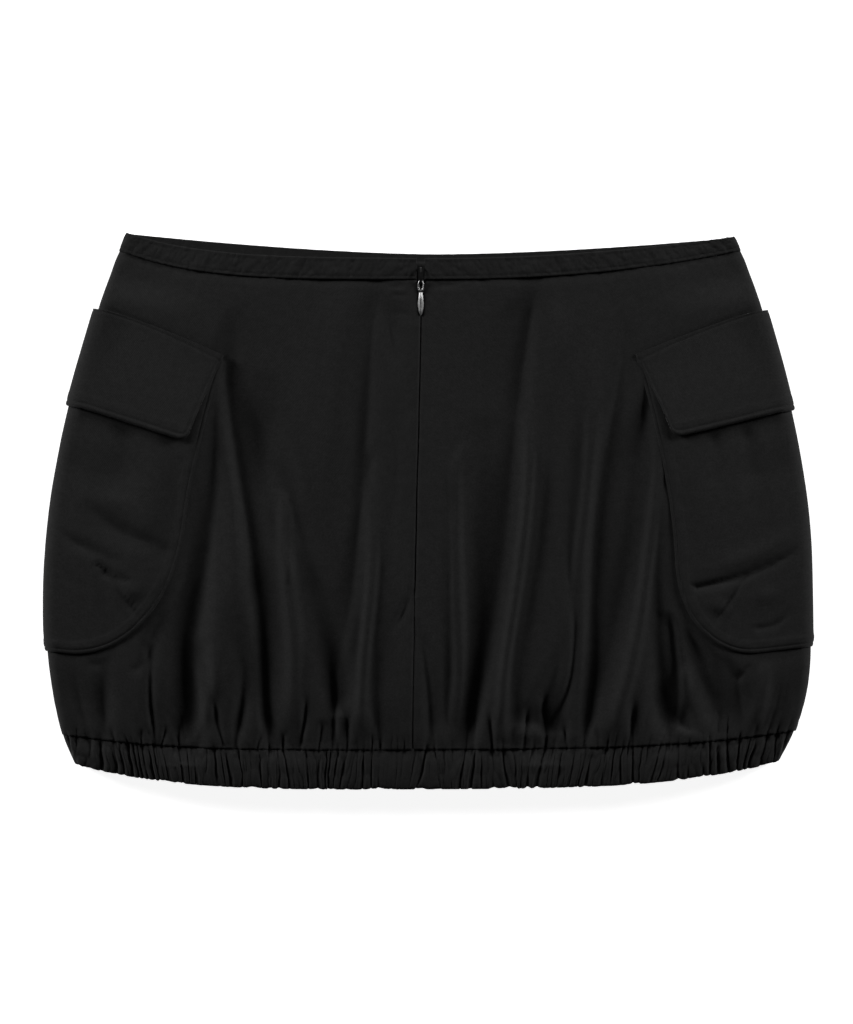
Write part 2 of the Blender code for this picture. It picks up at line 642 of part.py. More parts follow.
def zip_slider(finish):
    # a plate on the panels, a neck between them, and an open bridge that holds the pull
    x, top_y, foot_y, plate_z = slider_place()
    plate = bmesh.new()
    box(plate, (x - PLATE_WIDTH / 2.0, foot_y, plate_z),
        (x + PLATE_WIDTH / 2.0, top_y, plate_z + PLATE_WALL))
    body = add_object("zip_slider", plate, finish)
    neck = bmesh.new()
    box(neck, (x - NECK_WIDTH / 2.0, foot_y + NECK_INSET, plate_z - SEAM_GAP - NECK_DROP),
        (x + NECK_WIDTH / 2.0, top_y - NECK_INSET, plate_z + PLATE_WALL / 2.0))
    bridge = bmesh.new()
    middle = (top_y + foot_y) / 2.0
    half = (top_y - foot_y) / 2.0
    base = plate_z + PLATE_WALL / 2.0
    rise = BRIDGE_RISE - PLATE_WALL / 2.0
    outer = bridge_arc(middle, half, base, rise)
    inner = bridge_arc(middle, half - BRIDGE_WALL, base, rise - BRIDGE_WALL)
    sides = []
    for side_x in (x - BRIDGE_WIDTH / 2.0, x + BRIDGE_WIDTH / 2.0):
        loop = outer + inner[::-1]
        sides.append([bridge.verts.new((MM * side_x, MM * y, MM * z)) for y, z in loop])
    left, right = sides
    count = len(left)
    for k in range(count):
        follow = (k + 1) % count
        bridge.faces.new((left[k], left[follow], right[follow], right[k]))
    for k in range(BRIDGE_STEPS):
        mate = count - 1 - k
        bridge.faces.new((left[k], left[mate], left[mate - 1], left[k + 1]))
        bridge.faces.new((right[k], right[k + 1], right[mate - 1], right[mate]))
    for name, shape in (("slider_neck", neck), ("slider_bridge", bridge)):
        piece = add_object(name, shape, finish)
        piece.hide_render = True
        piece.display_type = "WIRE"
        join = body.modifiers.new(name, "BOOLEAN")
        join.operation = "UNION"
        join.object = piece
    return body


def pull_outline():
    # half widths of the pull below its hinge: the ring, its foot, then the teardrop tab
    outline = [(-HINGE_BAR, RING_WIDTH / 2.0 - 0.4), (0.6, RING_WIDTH / 2.0),
               (RING_LENGTH - RING_TAPER, RING_WIDTH / 2.0), (RING_LENGTH, TAB_NECK / 2.0)]
    for k in range(1, TAB_STEPS + 1):
        t = k / TAB_STEPS
        swell = max(math.sin(math.pi * t**TAB_LOW_BELLY), 0.0)**0.8
        half = TAB_NECK / 2.0 * (1.0 - t) + (TAB_WIDTH - 0.4 * TAB_NECK) / 2.0 * swell
        outline.append((RING_LENGTH + TAB_LENGTH * t, max(half, 0.5)))
    return outline


def pull_hinge():
    # the hinge runs inside the foot of the bridge, and the tab lies along the cloth
    x, _, foot_y, plate_z = slider_place()
    hinge_y = foot_y + HINGE_SHIFT
    hinge_z = plate_z + PLATE_WALL + PULL_CLEARANCE + PULL_WALL / 2.0
    reach = RING_LENGTH + TAB_LENGTH
    cloth_z = seam_spot(SLIDER_DOWN[1] - HINGE_SHIFT + reach, 0.0)[2] + SEAM_GROOVE
    tip_z = cloth_z + SEAM_GAP + PULL_WALL / 2.0
    return x, hinge_y, hinge_z, math.asin((hinge_z - tip_z) / reach)


def zip_pull(finish):
    x, hinge_y, hinge_z, slope = pull_hinge()
    shape = bmesh.new()
    rims = []
    for along, half in pull_outline():
        rims.append([shape.verts.new((MM * side * half, -MM * along, -MM * PULL_WALL / 2.0))
                     for side in (-1, 1)])
    for (left, right), (next_left, next_right) in zip(rims, rims[1:]):
        shape.faces.new((left, next_left, next_right, right))
    pushed = bmesh.ops.extrude_face_region(shape, geom=shape.faces[:])
    for vert in pushed["geom"]:
        if isinstance(vert, bmesh.types.BMVert):
            vert.co.z += MM * PULL_WALL
    body = add_object("zip_pull", shape, finish)
    hole = bmesh.new()
    box(hole, (RING_BAR - RING_WIDTH / 2.0, RING_FOOT - RING_LENGTH, -2.0),
        (RING_WIDTH / 2.0 - RING_BAR, -HINGE_BAR, 2.0))
    cutter = add_object("pull_ring_hole", hole, finish)
    cutter.hide_render = True
    cutter.display_type = "WIRE"
    cut = body.modifiers.new("ring", "BOOLEAN")
    cut.operation = "DIFFERENCE"
    cut.object = cutter
    for part in (body, cutter):
        part.location = (MM * x, MM * hinge_y, MM * hinge_z)
        part.rotation_euler = (slope, 0.0, 0.0)
    return body


def build():
    for old in list(bpy.data.objects):
        bpy.data.objects.remove(old, do_unlink=True)
    cotton = material("black cotton", BLACK_COTTON, 0.86)
    tape = material("black zip tape", BLACK_TAPE, 0.9)
    metal = material("gunmetal", GUNMETAL, 0.4, 1.0)
    for side in (-1, 1):
        back_panel(side, cotton)
        waistband_back(side, cotton)
        pocket(side, cotton)
        flap(side, cotton)
    front_panel(cotton)
    waistband_front(cotton)
    hem_casing(cotton)
    zip_tape(tape)
    zip_slider(metal)
    zip_pull(metal)


build()
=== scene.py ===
# Looks of the balloon mini skirt: a black cotton skirt laid flat, its back upwards.
# Lengths are millimetres until a mesh is made. Girth runs round the skirt from a side seam,
# above zero on the back and below it on the front, and "down" runs from the waist to the hem.
import math
import random

import bmesh
import bpy
import numpy as np
from mathutils import Matrix, Vector


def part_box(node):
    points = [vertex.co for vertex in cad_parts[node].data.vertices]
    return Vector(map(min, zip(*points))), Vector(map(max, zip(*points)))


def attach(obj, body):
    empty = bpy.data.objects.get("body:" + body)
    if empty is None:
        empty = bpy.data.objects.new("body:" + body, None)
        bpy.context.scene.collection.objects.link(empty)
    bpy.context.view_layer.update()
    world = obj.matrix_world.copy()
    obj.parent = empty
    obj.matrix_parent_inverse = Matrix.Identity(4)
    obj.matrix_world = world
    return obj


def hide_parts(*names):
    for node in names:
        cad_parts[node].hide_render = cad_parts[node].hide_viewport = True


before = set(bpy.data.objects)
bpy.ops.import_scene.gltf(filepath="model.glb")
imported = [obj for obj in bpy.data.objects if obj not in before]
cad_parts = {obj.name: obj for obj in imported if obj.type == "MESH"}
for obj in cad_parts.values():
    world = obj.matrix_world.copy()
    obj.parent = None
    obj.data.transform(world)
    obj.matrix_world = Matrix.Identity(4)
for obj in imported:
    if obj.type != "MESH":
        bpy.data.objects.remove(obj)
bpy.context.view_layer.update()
mm = 0.001
print("frame loaded:", len(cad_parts), "nodes")

# the flattened tube, a row for each distance down from the waist
sectionNames = ("down", "leftUp", "middleUp", "rightUp", "leftBow", "rightBow",
                "frontUp", "frontBow", "left", "right", "fold", "crown")
sectionRows = (
    (0, 174.7, 158.4, 172.1, 4.2, 1.9, 161.9, 1.6, -188.4, 191.6, 5.0, 14.8),
    (10, 164.9, 146.5, 164.9, 4.2, 2.3, 151.0, 1.8, -192.6, 195.2, 5.0, 15.2),
    (45, 129.6, 113.3, 129.6, 2.6, 2.6, 116.0, 2.4, -204.7, 207.8, 5.5, 16.5),
    (108, 67.0, 52.0, 67.0, 2.6, 2.6, 53.0, 2.6, -222.3, 224.7, 6.5, 18.0),
    (170, 5.0, -9.4, 5.0, 2.6, 2.6, -9.4, 2.6, -234.3, 235.6, 7.0, 19.0),
    (232, -57.0, -69.5, -57.0, 2.6, 2.6, -69.5, 2.6, -239.0, 238.9, 7.0, 19.8),
    (280, -104.5, -115.8, -104.5, 2.8, 2.8, -115.8, 2.8, -236.2, 238.0, 6.8, 19.5),
    (311, -139.0, -148.4, -136.5, 3.4, 3.4, -148.4, 3.4, -229.5, 230.5, 6.0, 16.6),
    (332, -159.0, -174.0, -157.1, 3.6, 3.4, -173.4, 3.4, -221.5, 220.5, 5.6, 15.4),
)
sections = {name: np.array([row[k] for row in sectionRows], float)
            for k, name in enumerate(sectionNames)}

cut = {
    "middleX": 0.05, "middleY": 0.28,       # middle of the footprint
    "seamGap": 0.3, "panelWall": 1.4, "flapWall": 2.0,
    "bandHeight": 11.0, "bandStitch": 1.6, "casingTop": 311.0, "length": 332.0,
    "crownReach": 62.0,                     # girth over which the back rises from its side fold
    "liftReach": (90.0, 118.0),             # layers under the sides of the front
    "pocketLift": 1.7, "pocketLiftDown": (24.0, 44.0, 268.0, 292.0),
    "flapLift": 2.3, "flapLiftDown": (24.0, 44.0, 126.0, 152.0),
    "seamTopX": -4.4, "seamFootX": -9.4,
    "zipFoot": 214.0, "zipSlit": 1.0, "sliderSlit": 5.0, "sliderFoot": 18.0,
}

# Folds of the back, each a run of stations down the skirt: x, half width and relief, below zero
# for a trough. A station stands at the next level down, or at its own y where it has four numbers.
# A lean above zero makes the left flank the steeper one, below zero the right.
foldLevels = (142, 126, 110, 92, 72, 50, 28, 6, -16, -36, -54, -72, -88, -104, -118, -132, -146)
backFolds = (
    ("left pocket trough", 0.45, (-136, 6.1, -0.3), (-132.5, 8.9, -2.7), (-129.3, 11.3, -3.6),
     (-126.8, 12, -4.3), (-124.6, 12.2, -5.9), (-121.9, 11.4, -8), (-118.6, 10.7, -8.1),
     (-115.1, 10.6, -7.2), (-111.4, 10.5, -5.7), (-108.4, 10.1, -4.5), (-106.1, 9.6, -4.4),
     (-104.2, 9.4, -5), (-103, 9.5, -5.9), (-102.4, 9.2, -6.6), (-102.2, 8.2, -6.6),
     (-101.3, 6.9, -5.9), (-99.4, 6, -4.6)),
    ("left pocket rim", -0.3, (-137, 100, 5, 0), (-136.1, 5, 0.1), (-134.9, 5, -1),
     (-134.1, 5.6, -2.5), (-134.5, 7.2, -3.8), (-136.1, 9.5, -4.4), (-138.6, 11.6, -4.6),
     (-141.4, 12.6, -4.9), (-144.3, 12.7, -5.6), (-146.9, 11.7, -6.8), (-148, 10.4, -7.7),
     (-147.5, 10.2, -8.2), (-147.2, 11.5, -8.2), (-148.4, 12.6, -7.7), (-151.5, 13, -7)),
    ("left middle branch", 0, (-100, 88, 9, 0), (-99, 66, 10, -2.2), (-96.5, 10.9, -3.8),
     (-89.2, 10.3, -4.2), (-82.5, 9.8, -3.8), (-77.8, 9.6, -3.4), (-74.4, 9.6, -3),
     (-70.8, 9.9, -3.2), (-65.6, 10.9, -4.2), (-60.3, 11.7, -5.4), (-56.4, 11, -5.8),
     (-54.9, 9, -5.1), (-54.9, -128, 9, 0)),
    ("left middle trough", -0.35, (-29.3, 6.5, -2.9), (-33.2, 7.2, -3), (-35.9, 8.4, -3.3),
     (-37.6, 9.8, -3.7), (-38.8, 10.6, -4.2), (-40.3, 10.5, -4.6), (-41.8, 10.3, -4.9),
     (-43.2, 10.2, -4.8), (-44.7, 10, -4.1), (-46.5, 9.7, -3.5), (-48.7, 9.1, -2.9),
     (-51.9, 7.7, -1.8), (-55.6, 6.2, -1), (-58.4, 4.9, -1.6), (-58.8, 4.1, -2.6),
     (-58.2, 3.6, -3.2), (-57.7, 3.3, -3.1)),
    ("left seam trough", 0, (-20.7, 6.3, -0.9), (-20.6, 6.6, -2.1), (-20.7, 6.8, -2),
     (-20.8, 6.5, -1.1), (-20.5, 5.8, -0.7), (-19.9, 4.9, -1.3), (-19.7, 4.4, -1.8),
     (-20.8, 4.6, -1.6), (-23.2, 5.2, -0.7), (-26, 6, 0.3), (-28.3, 6.5, 0.9), (-30.2, 6.4, 0.7),
     (-31.5, 5.9, -0.2), (-32.4, 5.2, -1), (-32.7, 4.5, -1.3), (-31.7, 3.6, -1.4),
     (-29.2, 2.5, -1.7)),
    ("seam crossing", 0, (18, 0, 4.3, 0), (14.3, 4.3, 0.8), (13.4, 5.2, 0.5), (12.9, 5.5, 0.2),
     (12.6, 5.5, -0.4), (12.1, 5.2, -1.2), (11.2, 4.9, -2), (10.8, 4.6, -2.3), (11.6, 4.1, -1.8),
     (13.7, 3.5, -0.7)),
    ("seam fan", 0, (-6, -66, 3.6, 0), (-5.1, 3.6, -0.4), (-2.5, 4, -1.7), (-0.5, 4.5, -2.7),
     (0.7, 5.1, -3.5), (1.5, 5.4, -3.9), (1.8, 5.1, -3.6)),
    ("right middle trough", -0.35, (66.9, 7, -2.9), (63.8, 9.8, -4.2), (61.2, 11.8, -5.3),
     (58.3, 12.8, -6.1), (55.4, 13, -6.3), (53.3, 13, -5.8), (51.7, 12.9, -5.1),
     (49.9, 12.9, -4.8), (47.5, 12.9, -4.6), (44.8, 13, -4.7), (41.8, 13, -5), (38.6, 13, -5.4),
     (35.6, 13, -5.8), (32.6, 12.7, -6.2), (29.8, 11.7, -6.5), (27.8, 9.6, -6.6),
     (26.8, 6.9, -6.1)),
    ("right middle side", 0.2, (39.9, 60, 7.2, 0), (39.9, 7.2, -0.7), (35, 10.4, -1.5),
     (32.1, 11.8, -1.7), (31.8, 11.1, -1.2), (33.4, 9.1, -0.5), (35.7, 6.8, 0), (34, -66, 6.8, 0)),
    ("right inner trough", 0, (82.5, 132, 6.1, 0), (81.5, 110, 6.1, 1.7), (79.1, 5.8, 1.6),
     (77, 5.4, 1.1), (75.4, 5, -0.3), (74.2, 4.8, -1.1), (72.5, 4.8, -1.3), (70.1, 4.8, -1.3),
     (67.3, 4.9, -1.2), (64.6, 4.9, -1), (61.8, 4.9, -0.9), (59.3, 4.8, -0.7), (56.7, 4.6, -0.5),
     (54.5, 4.2, -0.7), (52.8, 4.2, -1.3), (52, 4.8, -2)),
    ("right inner side", 0, (98.2, 92, 8.3, 0.1), (96.5, 7.3, -0.1), (94.6, 6.4, -0.5),
     (92.5, 5.9, -1.1), (90.7, 5.8, -1.5), (89.8, 5.5, -1.7), (89.9, 4.9, -2), (90.8, 4, -2.3),
     (91.5, 3.2, -2.4), (91, 2.9, -2.6), (89.1, 3.3, -3.1), (85.6, 4.8, -3.8), (79.8, 7.8, -5.1),
     (72.4, 12, -6.8)),
    ("right pocket trough", 0.3, (124, 126, 6, 0), (123.6, 6.5, -1.1), (122.1, 7.3, -2),
     (118.9, 6.8, -2.7), (114.4, 8.2, -2.9), (110, 8.5, -2.9), (106.6, 8, -3.1),
     (104.1, 7.9, -3.7), (103, 8, -4.6), (102.6, 8, -5.6), (102.5, 8.1, -6.6), (102.4, 8.5, -7.2),
     (101.8, 9.2, -7.5), (100.5, 8.7, -7.1), (98.8, 6.3, -5.6), (97.3, 2.2, -3.5)),
    ("right pocket side", 0, (142, 92, 5.5, 0), (139.5, 5.8, -2.2), (134.5, 8.6, -3.4),
     (130.1, 10.8, -3.8), (127.5, 11.4, -3.9), (125, 11.5, -4.1), (122.5, 11.2, -4.5),
     (120.2, 10.5, -4.8), (117.9, 9.2, -4.3), (116, 7.7, -3.2), (113.5, -120, 7.5, 0)),
    ("right rim trough", 0, (147.3, 16, 4.2, 0), (147.3, 4.2, 0.8), (145, 4.2, 0.3),
     (143.4, 4.3, -0.2), (142.7, 4.7, -1), (142.6, 5.5, -2.1), (143.3, 6.5, -3.4),
     (144.7, 7.6, -5), (146, 8.3, -5.8), (147.9, 8.3, -5.1), (150.5, 7.3, -2.8)),
    ("right rim crease", -0.5, (150, -62, 4.2, 0), (153.3, 4.2, -3), (155.1, 4.5, -4),
     (156.7, 4.8, -4.4), (156.6, 4.9, -4.1), (154.3, 4.9, -2.8), (150.5, 4.6, -0.9)),
    ("right hip trough", 0, (163, -54, 4, 0), (166.4, 6.4, -2.1), (169.4, 8.7, -3.9),
     (173, 10.6, -5.4), (177.2, 10.7, -5.7), (181.4, 9.1, -4.6), (184.5, 7.1, -2.8)),
    ("right hip end", -0.3, (186, -88, 4, 0), (191.6, 6.2, -2.4), (194.8, 7.2, -3.4),
     (195.4, 6.7, -2.6), (194.2, 4.9, -0.7)),
    ("right edge trough", 0, (209, -78, 4.3, 0), (211.9, 4.3, -0.8), (210.5, 5, 2.2),
     (208.7, 5.1, 3.1), (205.2, 4.6, 1.8), (200.1, 3.8, -0.6)),
    ("left hip trough", 0, (-167, -60, 5, 0), (-171, 5, -1.8), (-172.5, 4.3, -2.2),
     (-173.5, 3.6, -2.6), (-173.3, 3.1, -2.8), (-172.2, 2.7, -2.9), (-170.8, 2.5, -2.6)),
    ("left edge trough", 0, (-200, -78, 4.2, 0), (-200, 4.2, -0.5), (-201.6, 5.9, -1.9),
     (-201.9, 6.3, -2.9), (-201.8, 5, -2.7), (-202.3, 2.3, -1.2)),
    ("left side trough", 0, (-225.9, -78, 4, 0), (-225.9, 4, -0.5), (-222.3, 4, -1.9),
     (-219, 3.9, -3.1), (-215.9, 3.7, -4), (-213.2, 3.2, -4.8)),
    ("left vee outer", 0, (-139.5, -78, 4.9, 0), (-139.5, 4.9, -3.1), (-136.8, 4.3, -3.1),
     (-134.4, 3.7, -2.7), (-131.5, 3, -2.4), (-127.9, 2.4, -2.8)),
    ("left vee inner", 0, (-122.6, 24, 3.8, 0), (-122.6, -6, 4, 1.5), (-122, -18, 4.4, 2.4),
     (-121.3, 5.2, 3.2), (-119.7, 6.3, 3), (-117.8, 6.4, 1.2), (-116.1, 5.9, -1.1),
     (-115.2, 5.6, -3.1), (-115.9, 5.6, -4.1), (-118.1, 4.9, -4), (-121, 3.2, -3.3)),
    ("left ridge a", 0, (-124, 60, 4.8, 0), (-127.5, 4.8, -0.1), (-128.9, 4.7, -0.5),
     (-129.7, 5, -0.5), (-129.7, 6, 0.5), (-129.6, 6.7, 1.8), (-129.7, 7, 2.9), (-130.2, 7.4, 3.4),
     (-131.3, 7.2, 3.6), (-133.5, 5.8, 3.6), (-136, 4.4, 3.1), (-139.1, 3.8, 0.8),
     (-142.9, 4.2, -3.6)),
    ("left ridge b", 0, (-92, 14, 3.7, 0), (-89.3, 3.7, 1.8), (-89.1, 3.9, 2.5), (-88.1, 4, 2.9),
     (-86.1, 4.1, 3.4), (-84.1, 4.5, 3.8), (-83.3, 4.5, 3.6), (-83.7, 4.2, 2.9), (-83.9, 4.5, 1.9),
     (-84.1, 6.2, 0), (-84.9, 8.7, -2.7)),
    ("left ridge c", 0, (-32, 44, 3.8, 0), (-35.1, 3.8, -1.5), (-34.4, 3.4, 0.1),
     (-34.1, 3.1, 1.9), (-34.6, 3, 3.2), (-36, 2.9, 3.7), (-37.8, 2.8, 3.8), (-39.4, 2.7, 3.7),
     (-40.6, 2.7, 3.5), (-41.4, 3, 3.1), (-41.9, 4.1, 1.9), (-42, 5.8, -0.5)),
    ("seam ridge", 0, (24, 44, 3.5, 0), (17.6, 3.5, 1.7), (17.7, 3.2, 2), (17.9, 2.9, 2.5),
     (18.2, 3, 3), (18.6, 3.3, 3.3), (19.3, 3.5, 3.2), (20, 3.4, 3.1), (20, 3.2, 3),
     (18.9, 3.3, 2.7), (17.6, 4.1, 1.4), (17.1, 5.5, -1)),
    ("right ridge a", 0, (62.4, 86, 4.4, 0), (62.6, 68, 4.2, -0.7), (63.5, 3.4, 1.1),
     (63.3, 2.8, 3.2), (61.9, 2.6, 3.9), (59.7, 2.6, 4), (57.2, 2.6, 4), (54.6, 2.5, 4),
     (51.7, 2.4, 4), (49.3, 2.4, 4), (47.4, 2.6, 3.9), (46.4, 3.1, 3.5), (45.4, 3.8, 2.5),
     (44.1, 4.9, 0.8)),
    ("right ridge b", 0, (104.5, 112, 5.7, 0), (104.2, 92, 5.7, 0.9), (103.9, 5.2, 2.1),
     (102.8, 4.2, 2.7), (101.2, 3.1, 2.6), (99.2, 2.8, 2.5), (96.7, 3.1, 2.2), (94, 3.8, 1.7),
     (90.9, 4.3, 1), (87, 4.6, 0.2), (82.9, 5, -1), (78.3, 6.2, -2.6), (73.4, 8.9, -4.1),
     (67.4, 13, -5.5), (76, -140, 13, 0)),
    ("right ridge c", 0, (145, 70, 3.2, 0), (144.2, 28, 3.2, 1.8), (142, 3, 2.6), (139.4, 3, 3.1),
     (136.8, 2.8, 3.6), (134.4, 2.9, 4), (131.8, 3.4, 4), (128.7, 3.9, 4), (124.9, 4.3, 4),
     (121.1, 4.6, 3.6), (117.7, 5.3, 2.3), (115, 6.8, 0.1)),
    ("right ridge d", 0, (160.6, -94, 3.1, 0), (160.6, 3.1, 1.8), (161, 4.3, -1.4),
     (161, 5.8, -6.1), (164, -140, 5.8, 0)),
    ("left trough flank", 0, (-116, 94, 5, 0), (-111.7, 72, 6.5, -0.9), (-106.3, 8.4, -3.7),
     (-102.7, 8.8, -4.4), (-98.6, 8.1, -3.2), (-93.1, 5.9, -0.8), (-87.1, 2.7, 1.9),
     (-87.1, -46, 2.7, 0)),
    ("left upper middle", 0, (-56.4, 8, 0.2), (-56.4, 8.4, 0.8), (-56.6, 8.7, 1.3),
     (-57, 9.2, 1.7), (-57.4, 9.4, 1.8), (-57.7, 9, 1.5), (-57.9, 9, 0.8), (-58, 4, 9, 0)),
    ("zip side crease", 0, (-28, 138, 3, 0), (-26, 122, 3, -0.8), (-20, 98, 3, -0.7),
     (-15, 80, 3, 0)),
    ("left panel hollow", 0, (-80, 96, 13, 0), (-78, 70, 13, 0.9), (-76.5, 48, 13, 1.7),
     (-74, 12.5, 2), (-71.5, 12.5, 1.7), (-69.6, 13, 0.7), (-70, 13, 0)),
    ("right upper side", 0, (34, 60, 8.2, 0), (32.1, 8.2, -1), (30.7, 8.7, -1.3),
     (29.9, 9.2, -1.3), (29.2, 9.5, -1.6), (28.7, 9.5, -1.8), (28.3, 9.2, -1.6),
     (27.5, -84, 9, 0)),
)

# small straight creases: from (x0, y0) to (x1, y1), the middle standing "bow" to the right
foldNames = ("name", "x0", "y0", "x1", "y1", "bow", "width0", "width1",
             "relief0", "relief", "relief1", "lean")
backCreases = (
    ("left corner crease", -178, -78, -181, -98, 4, 3.6, 3.6, 0, -1.2, -0.8, 0),
    ("left corner hollow", -216, -92, -200, -98, 0, 4.0, 4.0, 0, -0.8, 0, 0),
    ("left fan a", -198, -132, -195, -149, 0, 1.8, 1.5, 0, -1.6, -1.4, 0),
    ("left fan b", -180, -134, -178, -149, 0, 1.8, 1.4, 0, -1.8, -1.8, 0),
    ("left fan c", -164, -132, -167, -149, 0, 1.6, 1.3, 0, -2.0, -1.8, 0),
    ("left fan d", -157, -130, -156, -149, 0, 1.8, 1.6, 0, -2.2, -2.2, 0),
    ("left fan e", -104, -136, -107, -149, 0, 1.8, 1.6, 0, -1.8, -1.6, 0),
    ("left fan f", -89, -136, -91, -149, 0, 1.8, 1.6, 0, -1.6, -1.4, 0),
    ("left fan g", -76, -110, -80, -149, 1, 2.6, 1.6, 0, -1.8, -1.6, 0),
    ("left fan h", -66, -128, -68, -149, 0, 2.2, 1.8, 0, -1.8, -1.8, 0),
    ("left fan i", -50, -124, -51, -149, 0, 2.2, 1.6, 0, -1.6, -1.6, 0),
    ("zip foot crease", -10, -50, -23, -79, 0, 2.4, 2.6, -0.6, -1.2, 0, 0),
    ("pull crease a", -16, 141, -26, 140, 0, 1.6, 2.0, -0.6, -0.5, 0, 0),
    ("pull crease b", -14, 135, -25, 136, 0, 1.4, 1.8, -0.5, -0.4, 0, 0),
    ("pull crease c", -12, 123, -22, 125, 0, 1.4, 1.8, -0.4, -0.3, 0, 0),
    ("pull side crease", 5, 141, 21, 141.5, 0, 1.4, 2.0, -0.5, -0.6, 0, 0),
    ("right fan a", 39, -120, 41, -149, 0, 2.0, 1.6, 0, -1.4, -1.4, 0),
    ("right fan b", 62, -118, 60, -149, 0, 1.8, 1.5, 0, -1.6, -1.5, 0),
    ("right fan c", 72, -108, 74, -149, 0, 2.4, 1.8, 0, -1.6, -1.8, 0),
    ("right fan d", 86, -126, 87, -149, 0, 2.0, 1.6, 0, -1.4, -1.4, 0),
    ("right fan e", 108, -134, 106, -149, 0, 2.2, 1.8, 0, -1.4, -1.6, 0),
    ("right fan f", 128, -112, 127, -149, 0, 3.0, 2.0, 0, -1.6, -1.4, 0),
    ("right side ridge", 230.4, -102, 223, -134, 0, 2.6, 2.6, 0, 1.2, 0.4, 0),
    ("right corner crease", 192, -108, 199, -98, 0, 2.6, 2.6, 0, -1.2, -0.6, 0),
    ("right side fan", 206, -128, 204, -149, 0, 2.0, 1.6, 0, -1.4, -1.2, 0),
)

pocketFolds = {
    -1: (
        ("dart", -201, -38, -180, -66, 1.0, 1.8, 2.0, -1.2, -1.4, -0.7, -0.4),
        ("dart upper crease", -205, -33, -183, -46, -0.6, 1.9, 2.2, -2.0, -2.6, -0.6, -0.45),
        ("dart lower crease", -203.5, -40, -198, -78, -1, 1.6, 2.2, -0.8, -0.7, -0.3, 0),
        ("cross crease", -236, -7, -195, -30, -1.5, 2.6, 3.0, -0.6, -2.0, -0.8, -0.45),
        ("upper cross crease", -212, 4, -164, -24, -2, 4.6, 6.0, -0.4, -2.2, -1.0, -0.5),
        ("dart puff", -194, -42, -186, -60, 5, 6.0, 7.0, 0.6, 1.6, 0, 0),
        ("mouth hollow", -188, 46, -190, 4, 0, 8.0, 12.0, -1.6, -2.2, -0.6, 0),
        ("inner hollow", -160, 44, -160, -30, 2, 7.0, 7.0, -0.8, -1.4, -0.8, 0),
        ("upper puff", -214, 8, -176, -6, 3, 6.0, 7.0, 0.6, 1.3, 0.6, 0),
        ("side crease", -232, -24, -212, -52, -4, 3.0, 3.0, -0.4, -0.8, 0, 0),
    ),
    1: (
        ("dart", 198.5, -41, 176, -74, -1, 1.4, 1.8, -1.0, -1.6, -0.5, 0),
        ("dart upper crease", 167.5, -47, 229, -24, -3, 2.0, 2.3, -2.0, -2.9, -1.6, -0.45),
        ("low crease", 205, -72.6, 225, -62.6, -3, 1.8, 2.0, -0.9, -1.0, -0.5, -0.4),
        ("dart puff", 184, -52, 176, -64, 2, 6.0, 6.0, 0.4, 1.3, 0, 0),
        ("mouth hollow", 199, 46, 202, 8, 0, 5.0, 7.0, -1.8, -1.6, -0.4, 0),
        ("middle hollow", 178, 44, 176, 4, 0, 5.0, 7.0, -1.2, -1.2, -0.4, 0),
        ("fold over dart", 172, -37, 228, -14, -3, 5.0, 5.0, 0.4, 1.4, 0.6, 0),
        ("low puff", 200, -56, 222, -50, 0, 6.0, 6.0, 0.3, 1.2, 0.3, 0),
    ),
}


def ease(value, start, end):
    t = np.clip((value - start) / (end - start), 0.0, 1.0)
    return t * t * (3.0 - 2.0 * t)


def plateau(value, riseStart, riseEnd, fallStart, fallEnd):
    return ease(value, riseStart, riseEnd) * (1.0 - ease(value, fallStart, fallEnd))


def share(start, end, part):
    return start + (end - start) * part


def bell(value, width):
    return np.exp(-(value / width)**2)


def noise(u, v, seed):
    # smooth noise between -1 and 1, one bump for each unit of u and v
    lattice = np.random.RandomState(seed).uniform(-1.0, 1.0, (61, 61))
    column, row = np.floor(u).astype(int), np.floor(v).astype(int)
    s, t = u - column, v - row
    s, t = s * s * (3.0 - 2.0 * s), t * t * (3.0 - 2.0 * t)
    low = share(lattice[column % 61, row % 61], lattice[(column + 1) % 61, row % 61], s)
    high = share(lattice[column % 61, (row + 1) % 61],
                 lattice[(column + 1) % 61, (row + 1) % 61], s)
    return share(low, high, t)


def sectionAt(down):
    rows = sections["down"]
    return {name: curveThrough(down, rows, values) for name, values in sections.items()}


def levelHeight(here, across, back):
    sideUp = share(here["leftUp"], here["rightUp"], across)
    meanUp = (here["leftUp"] + here["rightUp"]) / 2.0
    out = np.abs(2.0 * across - 1.0)
    bow = np.where(across < 0.5, here["leftBow"], here["rightBow"])
    onBack = (here["middleUp"] - meanUp) * (1.0 - out**bow)
    onFront = (here["frontUp"] - meanUp) * (1.0 - out**here["frontBow"])
    return sideUp + np.where(back, onBack, onFront)


def curveThrough(at, stations, values):
    # a smooth curve through values given at rising stations, level past the ends
    at = np.clip(at, stations[0], stations[-1])
    row = np.clip(np.searchsorted(stations, at, side="right") - 1, 0, len(stations) - 2)
    before, after = np.maximum(row - 1, 0), np.minimum(row + 2, len(stations) - 1)
    gap = stations[row + 1] - stations[row]
    gapBefore, gapAfter = stations[row] - stations[before], stations[after] - stations[row + 1]
    t = (at - stations[row]) / gap
    start, end = values[row], values[row + 1]
    slopeStart = (end - values[before]) / (gapBefore + gap) * gap
    slopeEnd = (values[after] - start) / (gap + gapAfter) * gap
    return ((2 * t**3 - 3 * t**2 + 1) * start + (t**3 - 2 * t**2 + t) * slopeStart
            + (3 * t**2 - 2 * t**3) * end + (t**3 - t**2) * slopeEnd)


def stationRows(stations):
    # rows of x, y, half width and relief, from the hem upwards
    rows, y = [], foldLevels[0] + 1
    for station in stations:
        y = station[1] if len(station) == 4 else max(at for at in foldLevels if at < y)
        rows.append((station[0], y, *station[-2:]))
    return np.array(rows[::-1], float)


